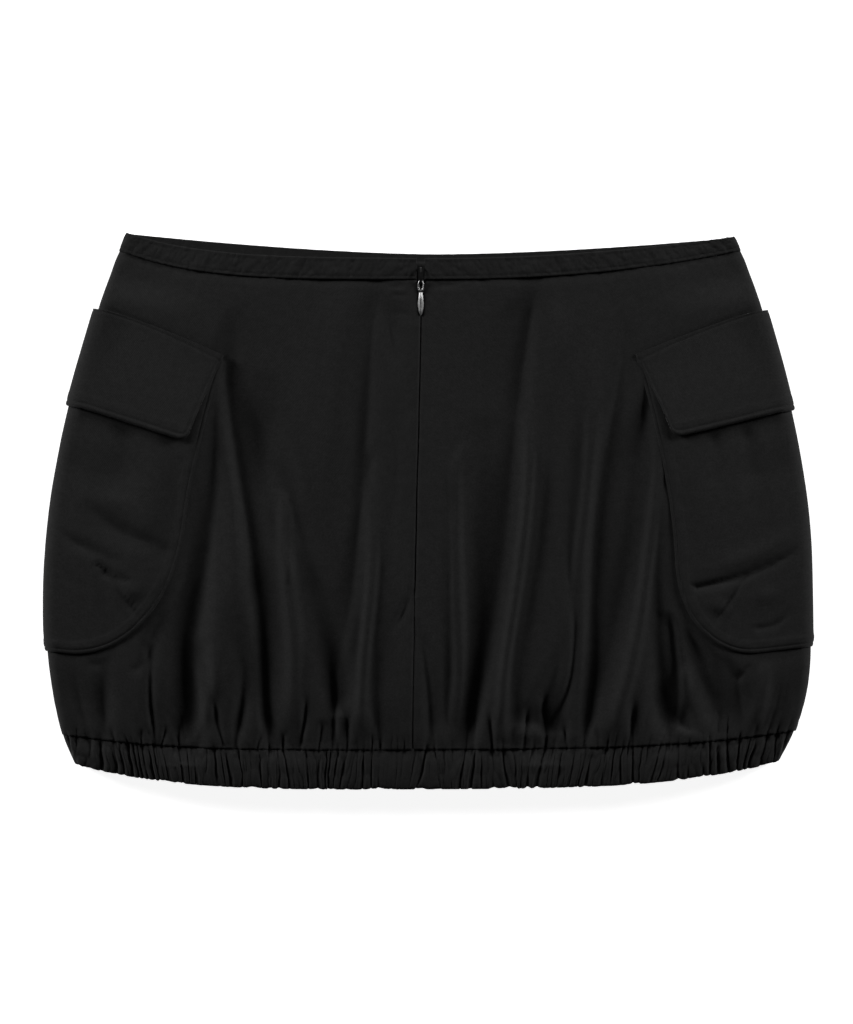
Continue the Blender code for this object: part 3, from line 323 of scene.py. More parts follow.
def stationRelief(x, y, folds):
    # folds given by stations; each fades over its own width past its ends
    total = np.zeros_like(x)
    for _, lean, *stations in folds:
        rows = stationRows(stations)
        near = np.nonzero((y > rows[0, 1] - 12.0) & (y < rows[-1, 1] + 12.0))[0]
        if not len(near):
            continue
        middle, width, relief = (curveThrough(y[near], rows[:, 1], rows[:, k])
                                 for k in (0, 2, 3))
        past = y[near] - np.clip(y[near], rows[0, 1], rows[-1, 1])
        aside = x[near] - middle
        flank = width * np.where(aside < 0.0, 1.0 - lean, 1.0 + lean)
        total[near] += relief * np.exp(-(aside / flank)**2 - (past / width)**2)
    return total


def foldRelief(x, y, folds):
    total = np.zeros_like(x)
    for row in folds:
        fold = dict(zip(foldNames, row))
        runX, runY = fold["x1"] - fold["x0"], fold["y1"] - fold["y0"]
        length = math.hypot(runX, runY)
        along = ((x - fold["x0"]) * runX + (y - fold["y0"]) * runY) / length**2
        aside = ((y - fold["y0"]) * runX - (x - fold["x0"]) * runY) / length
        t = np.clip(along, 0.0, 1.0)
        past = (along - t) * length
        aside = aside - fold["bow"] * 4.0 * t * (1.0 - t)
        width = share(fold["width0"], fold["width1"], t)
        flank = width * np.where(aside < 0.0, 1.0 - fold["lean"], 1.0 + fold["lean"])
        first = share(fold["relief0"], fold["relief"], ease(t, 0.0, 0.5))
        second = share(fold["relief"], fold["relief1"], ease(t, 0.5, 1.0))
        relief = np.where(t < 0.5, first, second)
        total += relief * np.exp(-(aside / flank)**2 - (past / width)**2)
    return total


def seamX(y):
    return share(cut["seamTopX"], cut["seamFootX"],
                 ease(y, sections["middleUp"][0], sections["middleUp"][-2]))


def lift(away, down):
    near = 1.0 - ease(away, *cut["liftReach"])
    pocket = cut["pocketLift"] * plateau(down, *cut["pocketLiftDown"])
    flap = cut["flapLift"] * plateau(down, *cut["flapLiftDown"])
    return near * (pocket + flap)


def spot(side, girth, down, out, relief=None):
    # points "out" from the skirt's outer face, as an array with a row each
    here = sectionAt(down)
    fold = here["fold"]
    edge = np.where(side < 0, here["left"], here["right"])
    away = np.abs(girth)
    quarter = fold * math.pi / 2.0
    turn = np.minimum(away / fold, math.pi / 2.0)
    flat = np.maximum(away - quarter, 0.0)
    inset = fold - fold * np.cos(turn) + flat
    x = edge - side * (inset - out * np.cos(turn))
    rise = (fold + out) * np.sin(turn)
    across = (edge - side * inset - here["left"]) / (here["right"] - here["left"])
    y = levelHeight(here, across, girth >= 0.0)
    zFront = lift(away, down) + fold - rise
    sideLift = lift(np.zeros_like(away), down)
    crown = here["crown"] - sideLift - 2.0 * fold
    zBack = sideLift + fold + rise
    zBack = zBack + crown * ease(away, quarter, quarter + cut["crownReach"])
    if relief is not None:
        zBack = zBack + relief(x, y, away, down) * ease(away, quarter - 1.0, quarter + 4.0)
    z = np.where(girth < 0.0, zFront, zBack)
    return np.stack([x - cut["middleX"], y - cut["middleY"], z], axis=-1)


def girthAtSeam(down):
    here = sectionAt(down)
    return seamX(here["middleUp"]) - here["left"] + here["fold"] * (math.pi / 2.0 - 1.0)


def fullGirth(down):
    here = sectionAt(down)
    return here["right"] - here["left"] + here["fold"] * (math.pi - 2.0)


def seamGirth(side, down):
    # from a side seam to the centre back
    return girthAtSeam(down) if side < 0 else fullGirth(down) - girthAtSeam(down)


def halfSlit(down):
    # half the gap between the two back panels: the seam, the zip, and round the slider
    slit = share(cut["zipSlit"], 0.08, ease(down, cut["zipFoot"] - 12.0, cut["zipFoot"]))
    slider = share(cut["sliderSlit"], 0.0, ease(down, cut["sliderFoot"] - 5.0, cut["sliderFoot"]))
    return np.maximum(slit, slider) / 2.0


# ---- the hem's gathers, shared by the casing and by the puckers above it

gathers = {"count": 84, "spread": 0.62, "depth": 1.5, "seed": 95, "gain": 1.9, "fine": 0.7,
           "slant": 0.00055, "wander": 0.0011, "roundness": 0.75}


def gatherTable():
    dice = random.Random(gathers["seed"])
    widths = [1.0 + gathers["spread"] * dice.uniform(-1.0, 1.0) for _ in range(gathers["count"])]
    depths = [gathers["depth"] * dice.uniform(0.35, 1.0) for _ in widths]
    edges = np.concatenate([[0.0], np.cumsum(widths)]) / sum(widths)
    return edges, np.array(depths)


gatherEdges, gatherDepths = gatherTable()


def gatherWave(part, reach):
    # 0 on a gather's ridge and -depth in its trough; reach is how far from the casing seam
    lean = gathers["slant"] * noise(part * 31.0, part * 0.0, 16) * reach
    wander = gathers["wander"] * noise(part * 33.0, reach / 7.0, 17)
    part = np.clip(part + lean + wander, 0.0, 0.99999)
    k = np.clip(np.searchsorted(gatherEdges, part, side="right") - 1, 0, gathers["count"] - 1)
    t = (part - gatherEdges[k]) / (gatherEdges[k + 1] - gatherEdges[k])
    trough = 1.0 - np.sin(math.pi * t)**gathers["roundness"]
    edge = np.where(t < 0.5, k, k + 1)
    length = 0.62 + 0.75 * noise(edge * 1.37, reach / 12.0, 12)
    depth = gathers["gain"] * gatherDepths[k] * np.clip(length, 0.05, 1.3)
    fine = np.abs(noise(part * 230.0, reach / 9.0, 18))
    return -trough * depth - gathers["fine"] * (1.0 - fine)**3


# ---- surfaces of the pieces: points for girth and down on one side

# the cloth's own unevenness, long along the skirt: size, its length round and down, and shift
crumples = ((0.34, 31.0, 74.0, 0.0), (0.13, 11.0, 24.0, 7.0), (0.05, 4.3, 6.5, 0.0))


def crumple(girth, down, seed, strength=1.0):
    return strength * sum(size * noise(girth / about + shift, down / along, seed + k)
                          for k, (size, about, along, shift) in enumerate(crumples))


# where the back's folds show: clear of the pocket, of the side fold, of band, hem and zip
backLook = {"pocketEdge": (1.0, 9.0), "sideFold": (8.0, 36.0), "pastPocket": (76.0, 92.0),
            "hemCalm": 0.45, "hemCalmDown": (294.0, 311.0), "bandShare": 0.25,
            "bandDown": (11.0, 38.0), "creaseGain": 1.3, "creaseCalm": 0.45,
            "creaseCalmDown": (296.0, 311.0), "creaseEndDown": (309.0, 318.0),
            "zipReach": 10.0, "zipHold": 0.8, "zipFreeDown": (196.0, 222.0)}


def backRelief(side):
    look = backLook

    def relief(x, y, away, down):
        bare = ease(-pocketEdge(side, away, down), *look["pocketEdge"])
        bare = bare * ease(away, *look["sideFold"])
        openCloth = np.maximum(ease(away, *look["pastPocket"]), bare)
        calm = 1.0 - look["hemCalm"] * ease(down, *look["hemCalmDown"])
        calm = calm * (1.0 - ease(down, cut["casingTop"], cut["length"]))
        folds = stationRelief(x, y, backFolds) * calm
        folds = folds * share(look["bandShare"], 1.0, ease(down, *look["bandDown"]))
        creases = foldRelief(x, y, backCreases) * look["creaseGain"]
        creases = creases * (1.0 - look["creaseCalm"] * ease(down, *look["creaseCalmDown"]))
        creases = creases * (1.0 - ease(down, *look["creaseEndDown"]))
        # the zip holds the cloth beside it nearly flat
        beside = np.abs(x - seamX(y)) / look["zipReach"]
        free = ease(down, *look["zipFreeDown"])
        held = 1.0 - look["zipHold"] * bell(beside, 1.0) * (1.0 - free)
        return (folds + creases) * openCloth * held
    return relief


def partOfBack(side, girth, down):
    part = girth / fullGirth(down)
    return np.where(side < 0, part, 1.0 - part)


def flapAcross(side, girth):
    return np.clip(np.abs(girth) / flapCuts[side]["footHalf"], 0.0, 1.08)


def flapTop(side, girth):
    return flapCuts[side]["top"] + flapCuts[side]["topDroop"] * flapAcross(side, girth)**1.6


def flapFoot(side, girth):
    return flapCuts[side]["foot"] + flapCuts[side]["footDroop"] * flapAcross(side, girth)**1.3


# puckers above the casing, and how the panel's cloth dips where others are sewn to it
puckerLook = {"least": 3.0, "spread": 11.0, "fall": 1.3, "share": 0.8, "hemDip": 0.12,
              "bandPuckers": 0.30, "bandPuckerReach": 5.0, "bandDip": 0.6, "bandDipReach": 7.0,
              "flapDips": ((0.9, 1.7), (0.6, 7.0)), "seamDips": ((1.3, 1.1), (0.3, 3.4))}


def dip(distance, dips):
    return sum(depth * bell(distance, width) for depth, width in dips)


def backSurface(side, girth, down):
    toSeam = seamGirth(side, down) - girth
    look = puckerLook
    out = crumple(girth, down, 20 if side < 0 else 30)
    top = flapTop(side, girth)
    under = ease(girth, 2.0, 16.0) * (1.0 - ease(girth, 84.0, 92.0))
    out = out - dip(top - down, look["flapDips"]) * under
    part = partOfBack(side, girth, down)
    reach = np.maximum(cut["casingTop"] - down, 0.0)
    tall = np.clip(0.4 + 0.9 * noise(part * 61.0, part * 0.0, 13), 0.0, 1.2)
    tall = look["least"] + look["spread"] * tall
    puckers = gatherWave(part, -reach) * np.exp(-(reach / tall)**look["fall"])
    out = out + look["share"] * puckers
    out = out - look["hemDip"] * ease(down, cut["casingTop"] - 3.0, cut["casingTop"] + 0.6)
    waist = np.maximum(down - cut["bandHeight"], 0.0)
    bandPuckers = noise(girth / 3.4, down / 30.0, 14) * np.exp(-waist / look["bandPuckerReach"])
    out = out + look["bandPuckers"] * bandPuckers
    low = ease(down, cut["bandHeight"] - 0.8, cut["bandHeight"] + look["bandDipReach"])
    out = out - look["bandDip"] * (1.0 - low)
    # the edges turn in along the zip and the seam
    out = out - dip(toSeam, look["seamDips"])
    out = out + 0.12 * noise(down / 6.0, toSeam * 0.0, 15) * bell(toSeam - 4.0, 4.0)
    return spot(side, girth, down, out, backRelief(side))


def bandSurface(side, girth, down):
    # a narrow puckered band, its top edge folded over
    mark = 0.34 * noise(girth / 3.4, down / 8.0, 41) + 0.30 * noise(girth / 1.7, down / 2.2, 42)
    line = bell(down - (cut["bandHeight"] - cut["bandStitch"]), 0.7) + 0.5 * bell(down - 2.0, 0.6)
    out = 0.25 + mark - 0.30 * line
    out = out - 0.2 * bell(down - cut["bandHeight"] - 0.3, 0.6) - 0.15 * bell(down, 0.8)
    toSeam = seamGirth(side, down) - girth
    out = out - 0.9 * bell(toSeam, 0.8)
    return spot(side, girth, down, out)


def frontSurface(side, girth, down):
    # girth is below zero here; the cloth lies on the surface with shallow folds over it
    near = ease(-girth, 118.0, 150.0)
    shallow = 0.5 + 0.5 * noise(girth / 16.0, down / 120.0, 51)
    hem = plateau(down, 150.0, 250.0, 296.0, 311.0)
    out = -0.9 * near * hem * shallow**2
    return spot(side, girth, down, out)


def frontBandSurface(side, girth, down):
    mark = 0.16 * noise(girth / 3.2, down / 9.0, 43)
    return spot(side, girth, down, -0.2 + mark * ease(down, -1.0, 3.0))


# ---- pockets and flaps

pocketCuts = {
    -1: {"half": 87.0, "foot": 262.5, "cornerWidth": 72.0, "cornerDrop": 88.0},
    1: {"half": 87.2, "foot": 259.5, "cornerWidth": 50.0, "cornerDrop": 60.0},
}
flapCuts = {
    -1: {"topHalf": 86.5, "footHalf": 79.0, "top": 47.5, "topDroop": 18.5,
         "foot": 108.5, "footDroop": 13.5},
    1: {"topHalf": 87.0, "footHalf": 78.0, "top": 48.4, "topDroop": 16.5,
        "foot": 111.5, "footDroop": 8.0},
}
pocketLook = {"puff": 2.4, "stitch": 2.2, "hem": 8.0, "mouth": 3.0,
              "edgeDips": ((0.6, 0.8), (0.4, 3.0)),
              "columns": 136, "rows": 124, "wall": 1.1}
flapLook = {"rise": 1.2, "riseReach": 52.0, "corner": 7.0, "flare": 1.2, "stitch": 2.4,
            "footStitch": 3.2, "inner": 9.0, "columns": 150, "rows": 56, "wall": 0.8}


def rise(side, girth, down):
    # the pocket and its flap lie close to the panel where they are sewn to it
    near = 1.0 - ease(down - flapTop(side, girth), 0.0, flapLook["riseReach"])
    return flapLook["rise"] * near * ease(girth, 3.0, 24.0)


def pocketSlack(girth, down):
    across = ease(girth, -4.0, 24.0) * (1.0 - ease(girth, 56.0, 82.0))
    return pocketLook["puff"] * across * plateau(down, 112.0, 164.0, 192.0, 262.0)


def pocketGirth(side, part):
    # -1 to 1 across the pocket; the foot of the pocket at that girth
    piece = pocketCuts[side]
    straight = piece["half"] - piece["cornerWidth"]
    size = np.abs(part)
    turn = np.clip((size - 0.35) / 0.65, 0.0, 1.0) * math.pi / 2.0
    girth = np.where(size < 0.35, straight * size / 0.35,
                     straight + piece["cornerWidth"] * np.sin(turn))
    drop = piece["cornerDrop"] * (1.0 - np.cos(turn))
    return np.copysign(girth, part), piece["foot"] - drop


def pocketEdge(side, girth, down):
    # distance inwards from the pocket's side and foot
    piece = pocketCuts[side]
    a, b = piece["cornerWidth"], piece["cornerDrop"]
    dg = np.maximum(np.abs(girth) - (piece["half"] - a), 1e-4)
    dd = np.maximum(down - (piece["foot"] - b), 1e-4)
    rho = np.sqrt((dg / a)**2 + (dd / b)**2)
    slope = np.sqrt((dg / a**2)**2 + (dd / b**2)**2) / rho
    return (1.0 - rho) / slope


def pocketSurface(side, girth, down):
    inward = pocketEdge(side, girth, down)
    out = cut["seamGap"] + cut["panelWall"] + pocketSlack(girth, down)
    out = out - 1.35 * rise(side, girth, down)
    out = out - dip(np.maximum(inward, 0.0), pocketLook["edgeDips"])
    out = out - 0.42 * bell(inward - pocketLook["stitch"], 0.7)
    out = out + 0.25 * (1.0 - ease(inward, pocketLook["hem"] - 1.5, pocketLook["hem"]))
    ripple = noise((girth - down) / 6.5, (girth + down) / 6.5, 61 + side)
    out = out + 0.16 * ripple * bell(inward - 5.0, 6.0)
    out = out + crumple(girth, down, 62 + 4 * side, 0.75)
    points = spot(side, girth, down, out)
    relief = foldRelief(points[:, 0], points[:, 1], pocketFolds[side])
    points[:, 2] += relief * ease(girth, 4.0, 24.0)
    return points


def flapShape(side, part, drop):
    # girth and down for parts across (-1 to 1) and down (0 to 1) the flap
    piece = flapCuts[side]
    half = share(piece["topHalf"], piece["footHalf"], drop)
    corner = flapLook["corner"]
    size = np.abs(part)
    turn = np.clip((size - 0.86) / 0.14, 0.0, 1.0) * math.pi / 2.0
    girth = np.where(size < 0.86, (half - corner) * size / 0.86,
                     half - corner + corner * np.sin(turn))
    across = girth / half
    top = piece["top"] + piece["topDroop"] * across**1.6
    foot = piece["foot"] + piece["footDroop"] * across**1.3 - corner * (1.0 - np.cos(turn))
    return np.copysign(girth, part), share(top, foot, drop)


def flapSurface(side, girth, down):
    piece = flapCuts[side]
    top, foot = flapTop(side, girth), flapFoot(side, girth)
    drop = np.clip((down - top) / (foot - top), 0.0, 1.0)
    half = share(piece["topHalf"], piece["footHalf"], drop)
    toSide, toFoot = half - np.abs(girth), foot - down
    corner = flapLook["corner"]
    inCorner = corner - np.hypot(np.maximum(corner - toSide, 0.0),
                                 np.maximum(corner - toFoot, 0.0))
    inward = np.where((toSide < corner) & (toFoot < corner), inCorner,
                      np.minimum(toSide, toFoot))
    out = 2.0 * cut["seamGap"] + cut["panelWall"] + cut["flapWall"] + pocketSlack(girth, down)
    out = out - 2.6 * rise(side, girth, down)
    out = out + flapLook["flare"] * ease(girth, -2.0, 20.0) * drop**2
    out = out - 1.0 * bell(np.maximum(inward, 0.0), 0.8)
    stitched = np.where(toFoot < toSide, flapLook["footStitch"], flapLook["stitch"])
    out = out - 0.35 * bell(inward - stitched, 0.8) * ease(drop, 0.0, 0.08)
    out = out - 0.22 * ease(toFoot, flapLook["inner"] - 1.0, flapLook["inner"] + 0.6)
    # the top edge is sewn down
    out = out - 0.25 * bell(down - top - 1.2, 0.8)
    out = out + 0.10 * noise(girth / 4.5, down / 4.5, 71) * bell(inward - 2.0, 3.0)
    out = out + crumple(girth, down, 72 + side, 0.45)
    return spot(side, girth, down, out)


# outside, bend and inside are parts of the turn; the back takes up backPart of the columns
casingLook = {"puff": 0.9, "thick": 2.8, "columns": 1280, "rows": 34, "wall": 0.4,
              "outside": 0.45, "bend": 0.10, "inside": 0.55,
              "backPart": 0.82, "frontPart": 0.18, "clothHalf": 470.0, "clothHeight": 48.0,
              "middleGirth": 221.0, "smooth": 0.65, "smoothStretch": (-34.0, -22.0, -4.0, 6.0),
              "plumb": 0.8, "stitch": 1.5}


def casingSurface(part, turn):
    # part runs right round the hem, 0 to 1 on the back and 1 to 2 on the front; turn runs from
    # the casing seam over the outside, round the hem fold and up the inside
    half = casingLook["thick"] / 2.0
    look = casingLook
    inside = turn > look["inside"]
    bend = np.clip((turn - look["outside"]) / look["bend"], 0.0, 1.0) * math.pi
    foot = cut["length"] - half
    outer = share(cut["casingTop"], foot, turn / look["outside"])
    inner = share(foot, cut["casingTop"], (turn - look["inside"]) / look["outside"])
    down = np.where(turn < look["outside"], outer,
                    np.where(inside, inner, foot + half * np.sin(bend)))
    out = -half + half * np.cos(bend)
    back = part <= 1.0
    girthAll = fullGirth(down) * np.where(back, part, 2.0 - part)
    side = np.where(girthAll < fullGirth(down) / 2.0, -1, 1)
    girth = np.where(side < 0, girthAll, fullGirth(down) - girthAll)
    reach = down - cut["casingTop"]
    height = cut["length"] - cut["casingTop"]
    bulge = look["puff"] * np.sin(math.pi * np.clip(reach / height, 0.0, 1.0))
    edgeFade = ease(girth, 0.0, 9.0)
    plumb = 0.5 + (part - 0.5) * fullGirth(down) / fullGirth(np.full(1, cut["casingTop"]))
    wave = gatherWave(np.where(back, share(part, plumb, look["plumb"]), part), reach)
    wave = wave * share(0.75, 1.0, edgeFade)
    smooth = 1.0 - look["smooth"] * plateau(girthAll - look["middleGirth"],
                                            *look["smoothStretch"])
    seamLine = -0.10 * bell(reach - look["stitch"], 0.8) - 0.15 * bell(reach + 0.4, 0.8)
    depth = wave * smooth * (0.45 + 0.55 * ease(reach, 0.0, 4.0)) + seamLine
    shown = np.where(inside, 0.35, 1.0) * (np.cos(bend) * 0.5 + 0.5)
    out = out + np.where(back, bulge * ease(girth, 4.0, 20.0) + depth, 0.0) * shown
    ragged = 0.5 * noise(part * 47.0, part * 0.0, 81) + 0.4 * noise(part * 170.0, part * 0.0, 82)
    ragged = ragged * ease(reach, 8.0, 20.0)
    down = down + np.where(back, 0.3 * wave * np.sin(bend) + ragged, 0.0)
    girth = np.where(back, girth, -girth)
    return spot(side, girth, down, out, backRelief(1))


# ---- meshes

def gridMesh(name, columns, rows, size=0.5):
    shape = bmesh.new()
    bmesh.ops.create_grid(shape, x_segments=columns, y_segments=rows, size=size)
    mesh = bpy.data.meshes.new(name)
    shape.to_mesh(mesh)
    shape.free()
    return mesh


def addPiece(name, mesh):
    piece = bpy.data.objects.new(name, mesh)
    bpy.context.scene.collection.objects.link(piece)
    return piece


def addWall(piece, wall, inwards=True):
    solid = piece.modifiers.new("wall", "SOLIDIFY")
    solid.thickness = wall * mm
    solid.offset = -1.0 if inwards else 1.0
    solid.use_even_offset = False


def weld(mesh, gap, turnOut=False):
    shape = bmesh.new()
    shape.from_mesh(mesh)
    bmesh.ops.remove_doubles(shape, verts=shape.verts, dist=gap)
    if turnOut:
        bmesh.ops.recalc_face_normals(shape, faces=shape.faces)
    shape.to_mesh(mesh)
    shape.free()


def clothUv(mesh, u, v):
    # a flat pattern in metres, so that the weave follows the cloth
    layer = mesh.uv_layers.new(name="cloth")
    loops = np.empty(len(mesh.loops), dtype=np.int32)
    mesh.loops.foreach_get("vertex_index", loops)
    flat = np.stack([u[loops] * mm, v[loops] * mm], axis=-1)
    layer.data.foreach_set("uv", flat.ravel())


def finish(piece, material, body="skirt"):
    piece.data.materials.append(material)
    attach(piece, body)
    return piece


def clothPiece(stem, look, place, material, inwards=True, ring=False):
    # place(across, drop) gives points, girth and down for a grid whose parts run 0 to 1
    mesh = gridMesh(stem + "_cloth", look["columns"], look["rows"])
    flat = np.empty(len(mesh.vertices) * 3, dtype=np.float32)
    mesh.vertices.foreach_get("co", flat)
    across = flat[0::3].astype(float) + 0.5
    drop = 0.5 - flat[1::3].astype(float)
    points, girth, down = place(across, drop)
    mesh.vertices.foreach_set("co", (points * mm).astype(np.float32).ravel())
    clothUv(mesh, girth, down)
    if ring:
        weld(mesh, 1e-6)
    mesh.shade_smooth()
    mesh.update()
    piece = addPiece(stem + "_cloth", mesh)
    addWall(piece, look["wall"], inwards)
    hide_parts(stem)
    return finish(piece, material)


# ---- materials

def node(tree, kind, **inputs):
    made = tree.nodes.new(kind)
    for name, value in inputs.items():
        made.inputs[name].default_value = value
    return made


def newMaterial(name, **inputs):
    made = bpy.data.materials.new(name)
    made.use_nodes = True
    shader = made.node_tree.nodes["Principled BSDF"]
    for socket, value in inputs.items():
        shader.inputs[socket].default_value = value
    return made, made.node_tree, shader


def wire(tree, *wires):
    for source, output, target, socket in wires:
        tree.links.new(source.outputs[output], target.inputs[socket])


def grey(level):
    return (level, level, level, 1.0)


def cottonMaterial(name, base, weaveScale, weaveDepth, sheen):
    # a dense black twill: fine diagonal ribs, slubs, lint and soft patches of wear
    made, tree, shader = newMaterial(name, **{
        "Roughness": 0.86, "Specular IOR Level": 0.10, "Sheen Weight": sheen,
        "Sheen Roughness": 0.45, "Sheen Tint": grey(0.5)})
    uv = tree.nodes.new("ShaderNodeUVMap")
    uv.uv_map = "cloth"
    ribs = node(tree, "ShaderNodeMapping", Rotation=(0.0, 0.0, math.radians(62)))
    twill = node(tree, "ShaderNodeTexWave", Scale=weaveScale, Distortion=1.6, Detail=2.0,
                 **{"Detail Scale": 1.4})
    slub = node(tree, "ShaderNodeTexNoise", Scale=2600.0, Detail=3.0, Roughness=0.6)
    patch = node(tree, "ShaderNodeTexNoise", Scale=210.0, Detail=4.0, Roughness=0.7)
    shade = node(tree, "ShaderNodeMixRGB", Color1=grey(base * 0.62), Color2=grey(base * 1.40))
    speck = node(tree, "ShaderNodeTexNoise", Scale=820.0, Detail=3.0, Roughness=0.7)
    level = node(tree, "ShaderNodeMapRange",
                 **{"From Min": 0.25, "From Max": 0.75, "To Min": 0.70, "To Max": 1.30})
    level.clamp = False
    yarn = node(tree, "ShaderNodeMixRGB", Fac=1.0)
    yarn.blend_type = "MULTIPLY"
    fibre = node(tree, "ShaderNodeBump", Strength=0.35, Distance=weaveDepth * mm)
    weave = node(tree, "ShaderNodeBump", Strength=0.5, Distance=weaveDepth * mm)
    wire(tree, (uv, "UV", ribs, "Vector"), (ribs, "Vector", twill, "Vector"),
         (uv, "UV", slub, "Vector"), (uv, "UV", patch, "Vector"), (uv, "UV", speck, "Vector"),
         (patch, "Fac", shade, "Fac"), (speck, "Fac", level, "Value"),
         (shade, "Color", yarn, "Color1"), (level, "Result", yarn, "Color2"),
         (yarn, "Color", shader, "Base Color"), (slub, "Fac", fibre, "Height"),
         (twill, "Fac", weave, "Height"), (fibre, "Normal", weave, "Normal"),
         (weave, "Normal", shader, "Normal"))
    return made


def threadMaterial():
    made, tree, shader = newMaterial("black thread",
                                     **{"Roughness": 0.55, "Specular IOR Level": 0.2})
    place = tree.nodes.new("ShaderNodeTexCoord")
    ply = node(tree, "ShaderNodeTexNoise", Scale=4000.0, Detail=2.0)
    tone = node(tree, "ShaderNodeMixRGB", Color1=grey(0.004), Color2=grey(0.011))
    wire(tree, (place, "Object", ply, "Vector"), (ply, "Fac", tone, "Fac"),
         (tone, "Color", shader, "Base Color"))
    return made


def metalMaterial(name, dark, bright):
    # plating, rubbed brighter in places, on the slider and the pull
    made, tree, shader = newMaterial(name, Metallic=1.0)
    place = tree.nodes.new("ShaderNodeTexCoord")
    wear = node(tree, "ShaderNodeTexNoise", Scale=420.0, Detail=5.0, Roughness=0.6)
    tone = node(tree, "ShaderNodeMixRGB", Color1=grey(dark), Color2=grey(bright))
    rough = node(tree, "ShaderNodeMapRange", **{"To Min": 0.28, "To Max": 0.5})
    wire(tree, (place, "Object", wear, "Vector"), (wear, "Fac", tone, "Fac"),
         (wear, "Fac", rough, "Value"), (tone, "Color", shader, "Base Color"),
         (rough, "Result", shader, "Roughness"))
    return made


def tapeMaterial():
    # woven zip tape, ribbed across
    made, tree, shader = newMaterial("zip tape", **{"Base Color": grey(0.004), "Roughness": 0.8})
    place = tree.nodes.new("ShaderNodeTexCoord")
    rib = node(tree, "ShaderNodeTexWave", Scale=900.0, Distortion=0.6)
    rib.bands_direction = "Y"
    bump = node(tree, "ShaderNodeBump", Strength=0.5, Distance=0.1 * mm)
    wire(tree, (place, "Object", rib, "Vector"), (rib, "Fac", bump, "Height"),
         (bump, "Normal", shader, "Normal"))
    return made


cotton = cottonMaterial("black cotton", 0.0142, 430.0, 0.12, 0.12)
bandCotton = cottonMaterial("black band cotton", 0.0125, 520.0, 0.14, 0.08)
thread = threadMaterial()
metal = metalMaterial("gunmetal", 0.16, 0.32)
darkMetal = metalMaterial("black plating", 0.03, 0.09)
tape = tapeMaterial()
print("materials made")

# ---- build the cloth

panelLook = {"columns": 204, "rows": 222, "wall": 1.0, "crowding": 0.96}
bandLook = {"columns": 320, "rows": 16, "wall": 1.2}
frontBandLook = {**bandLook, "columns": 640}
frontLook = {"columns": 140, "rows": 90, "wall": 1.0}
edges = {"side": 0.15, "underBand": 0.8, "underCasing": 0.6, "bandFoot": 0.3,
         "frontTop": 0.15, "frontFoot": 0.1}


def sided(stem, side):
    return stem + ("_left" if side < 0 else "_right")


def buildBack(side):
    def place(across, drop):
        down = share(cut["bandHeight"] - edges["underBand"],
                     cut["casingTop"] + edges["underCasing"], drop)
        reach = seamGirth(side, down) - halfSlit(down)
        girth = share(edges["side"], reach, across**panelLook["crowding"])
        return backSurface(side, girth, down), girth, down

    return clothPiece(sided("back", side), panelLook, place, cotton, side > 0)


def buildBand(side):
    def place(across, drop):
        down = (cut["bandHeight"] + edges["bandFoot"]) * drop
        girth = share(edges["side"], seamGirth(side, down) - halfSlit(down), across)
        return bandSurface(side, girth, down), girth, down

    return clothPiece(sided("waistband_back", side), bandLook, place, bandCotton, side > 0)


def acrossFront(across, down):
    girthAll = share(edges["side"], fullGirth(down) - edges["side"], across)
    side = np.where(across < 0.5, -1, 1)
    return side, -np.where(across < 0.5, girthAll, fullGirth(down) - girthAll)


def buildFront():
    def place(across, drop):
        down = share(cut["bandHeight"] + edges["frontTop"],
                     cut["casingTop"] - edges["frontFoot"], drop)
        side, girth = acrossFront(across, down)
        return frontSurface(side, girth, down), girth * -side, down

    def placeBand(across, drop):
        down = cut["bandHeight"] * drop
        side, girth = acrossFront(across, down)
        return frontBandSurface(side, girth, down), girth * -side, down

    return (clothPiece("front", frontLook, place, cotton, inwards=False),
            clothPiece("waistband_front", frontBandLook, placeBand, bandCotton, inwards=False))


def closerAtEnds(drop, amount):
    # rows stand closer at the top and foot, which keeps the edges crisp
    return share(drop, ease(drop, 0.0, 1.0), amount)


def buildPocket(side):
    top = flapCuts[side]["top"] + pocketLook["mouth"]

    def place(across, drop):
        girth, foot = pocketGirth(side, 2.0 * across - 1.0)
        mouth = top + flapCuts[side]["topDroop"] * (np.abs(girth) / pocketCuts[side]["half"])**1.6
        down = share(mouth, foot, closerAtEnds(drop, 0.8))
        return pocketSurface(side, girth, down), girth, down

    return clothPiece(sided("pocket", side), pocketLook, place, cotton, side > 0)


def buildFlap(side):
    def place(across, drop):
        girth, down = flapShape(side, 2.0 * across - 1.0, closerAtEnds(drop, 0.9))
        return flapSurface(side, girth, down), girth, down

    return clothPiece(sided("flap", side), flapLook, place, cotton, side > 0)


def buildCasing():
    def place(across, drop):
        backPart = casingLook["backPart"]
        part = np.where(across < backPart, across / backPart,
                        1.0 + (across - backPart) / casingLook["frontPart"])
        girth = part * casingLook["clothHalf"]
        return casingSurface(part, drop), girth, cut["casingTop"] + casingLook["clothHeight"] * drop

    return clothPiece("hem_casing", casingLook, place, cotton, ring=True)


backs = [buildBack(side) for side in (-1, 1)]
bands = [buildBand(side) for side in (-1, 1)]
front, frontBand = buildFront()
pockets = [buildPocket(side) for side in (-1, 1)]
flaps = [buildFlap(side) for side in (-1, 1)]
casing = buildCasing()

print("cloth made")

# ---- stitches and other small capsules

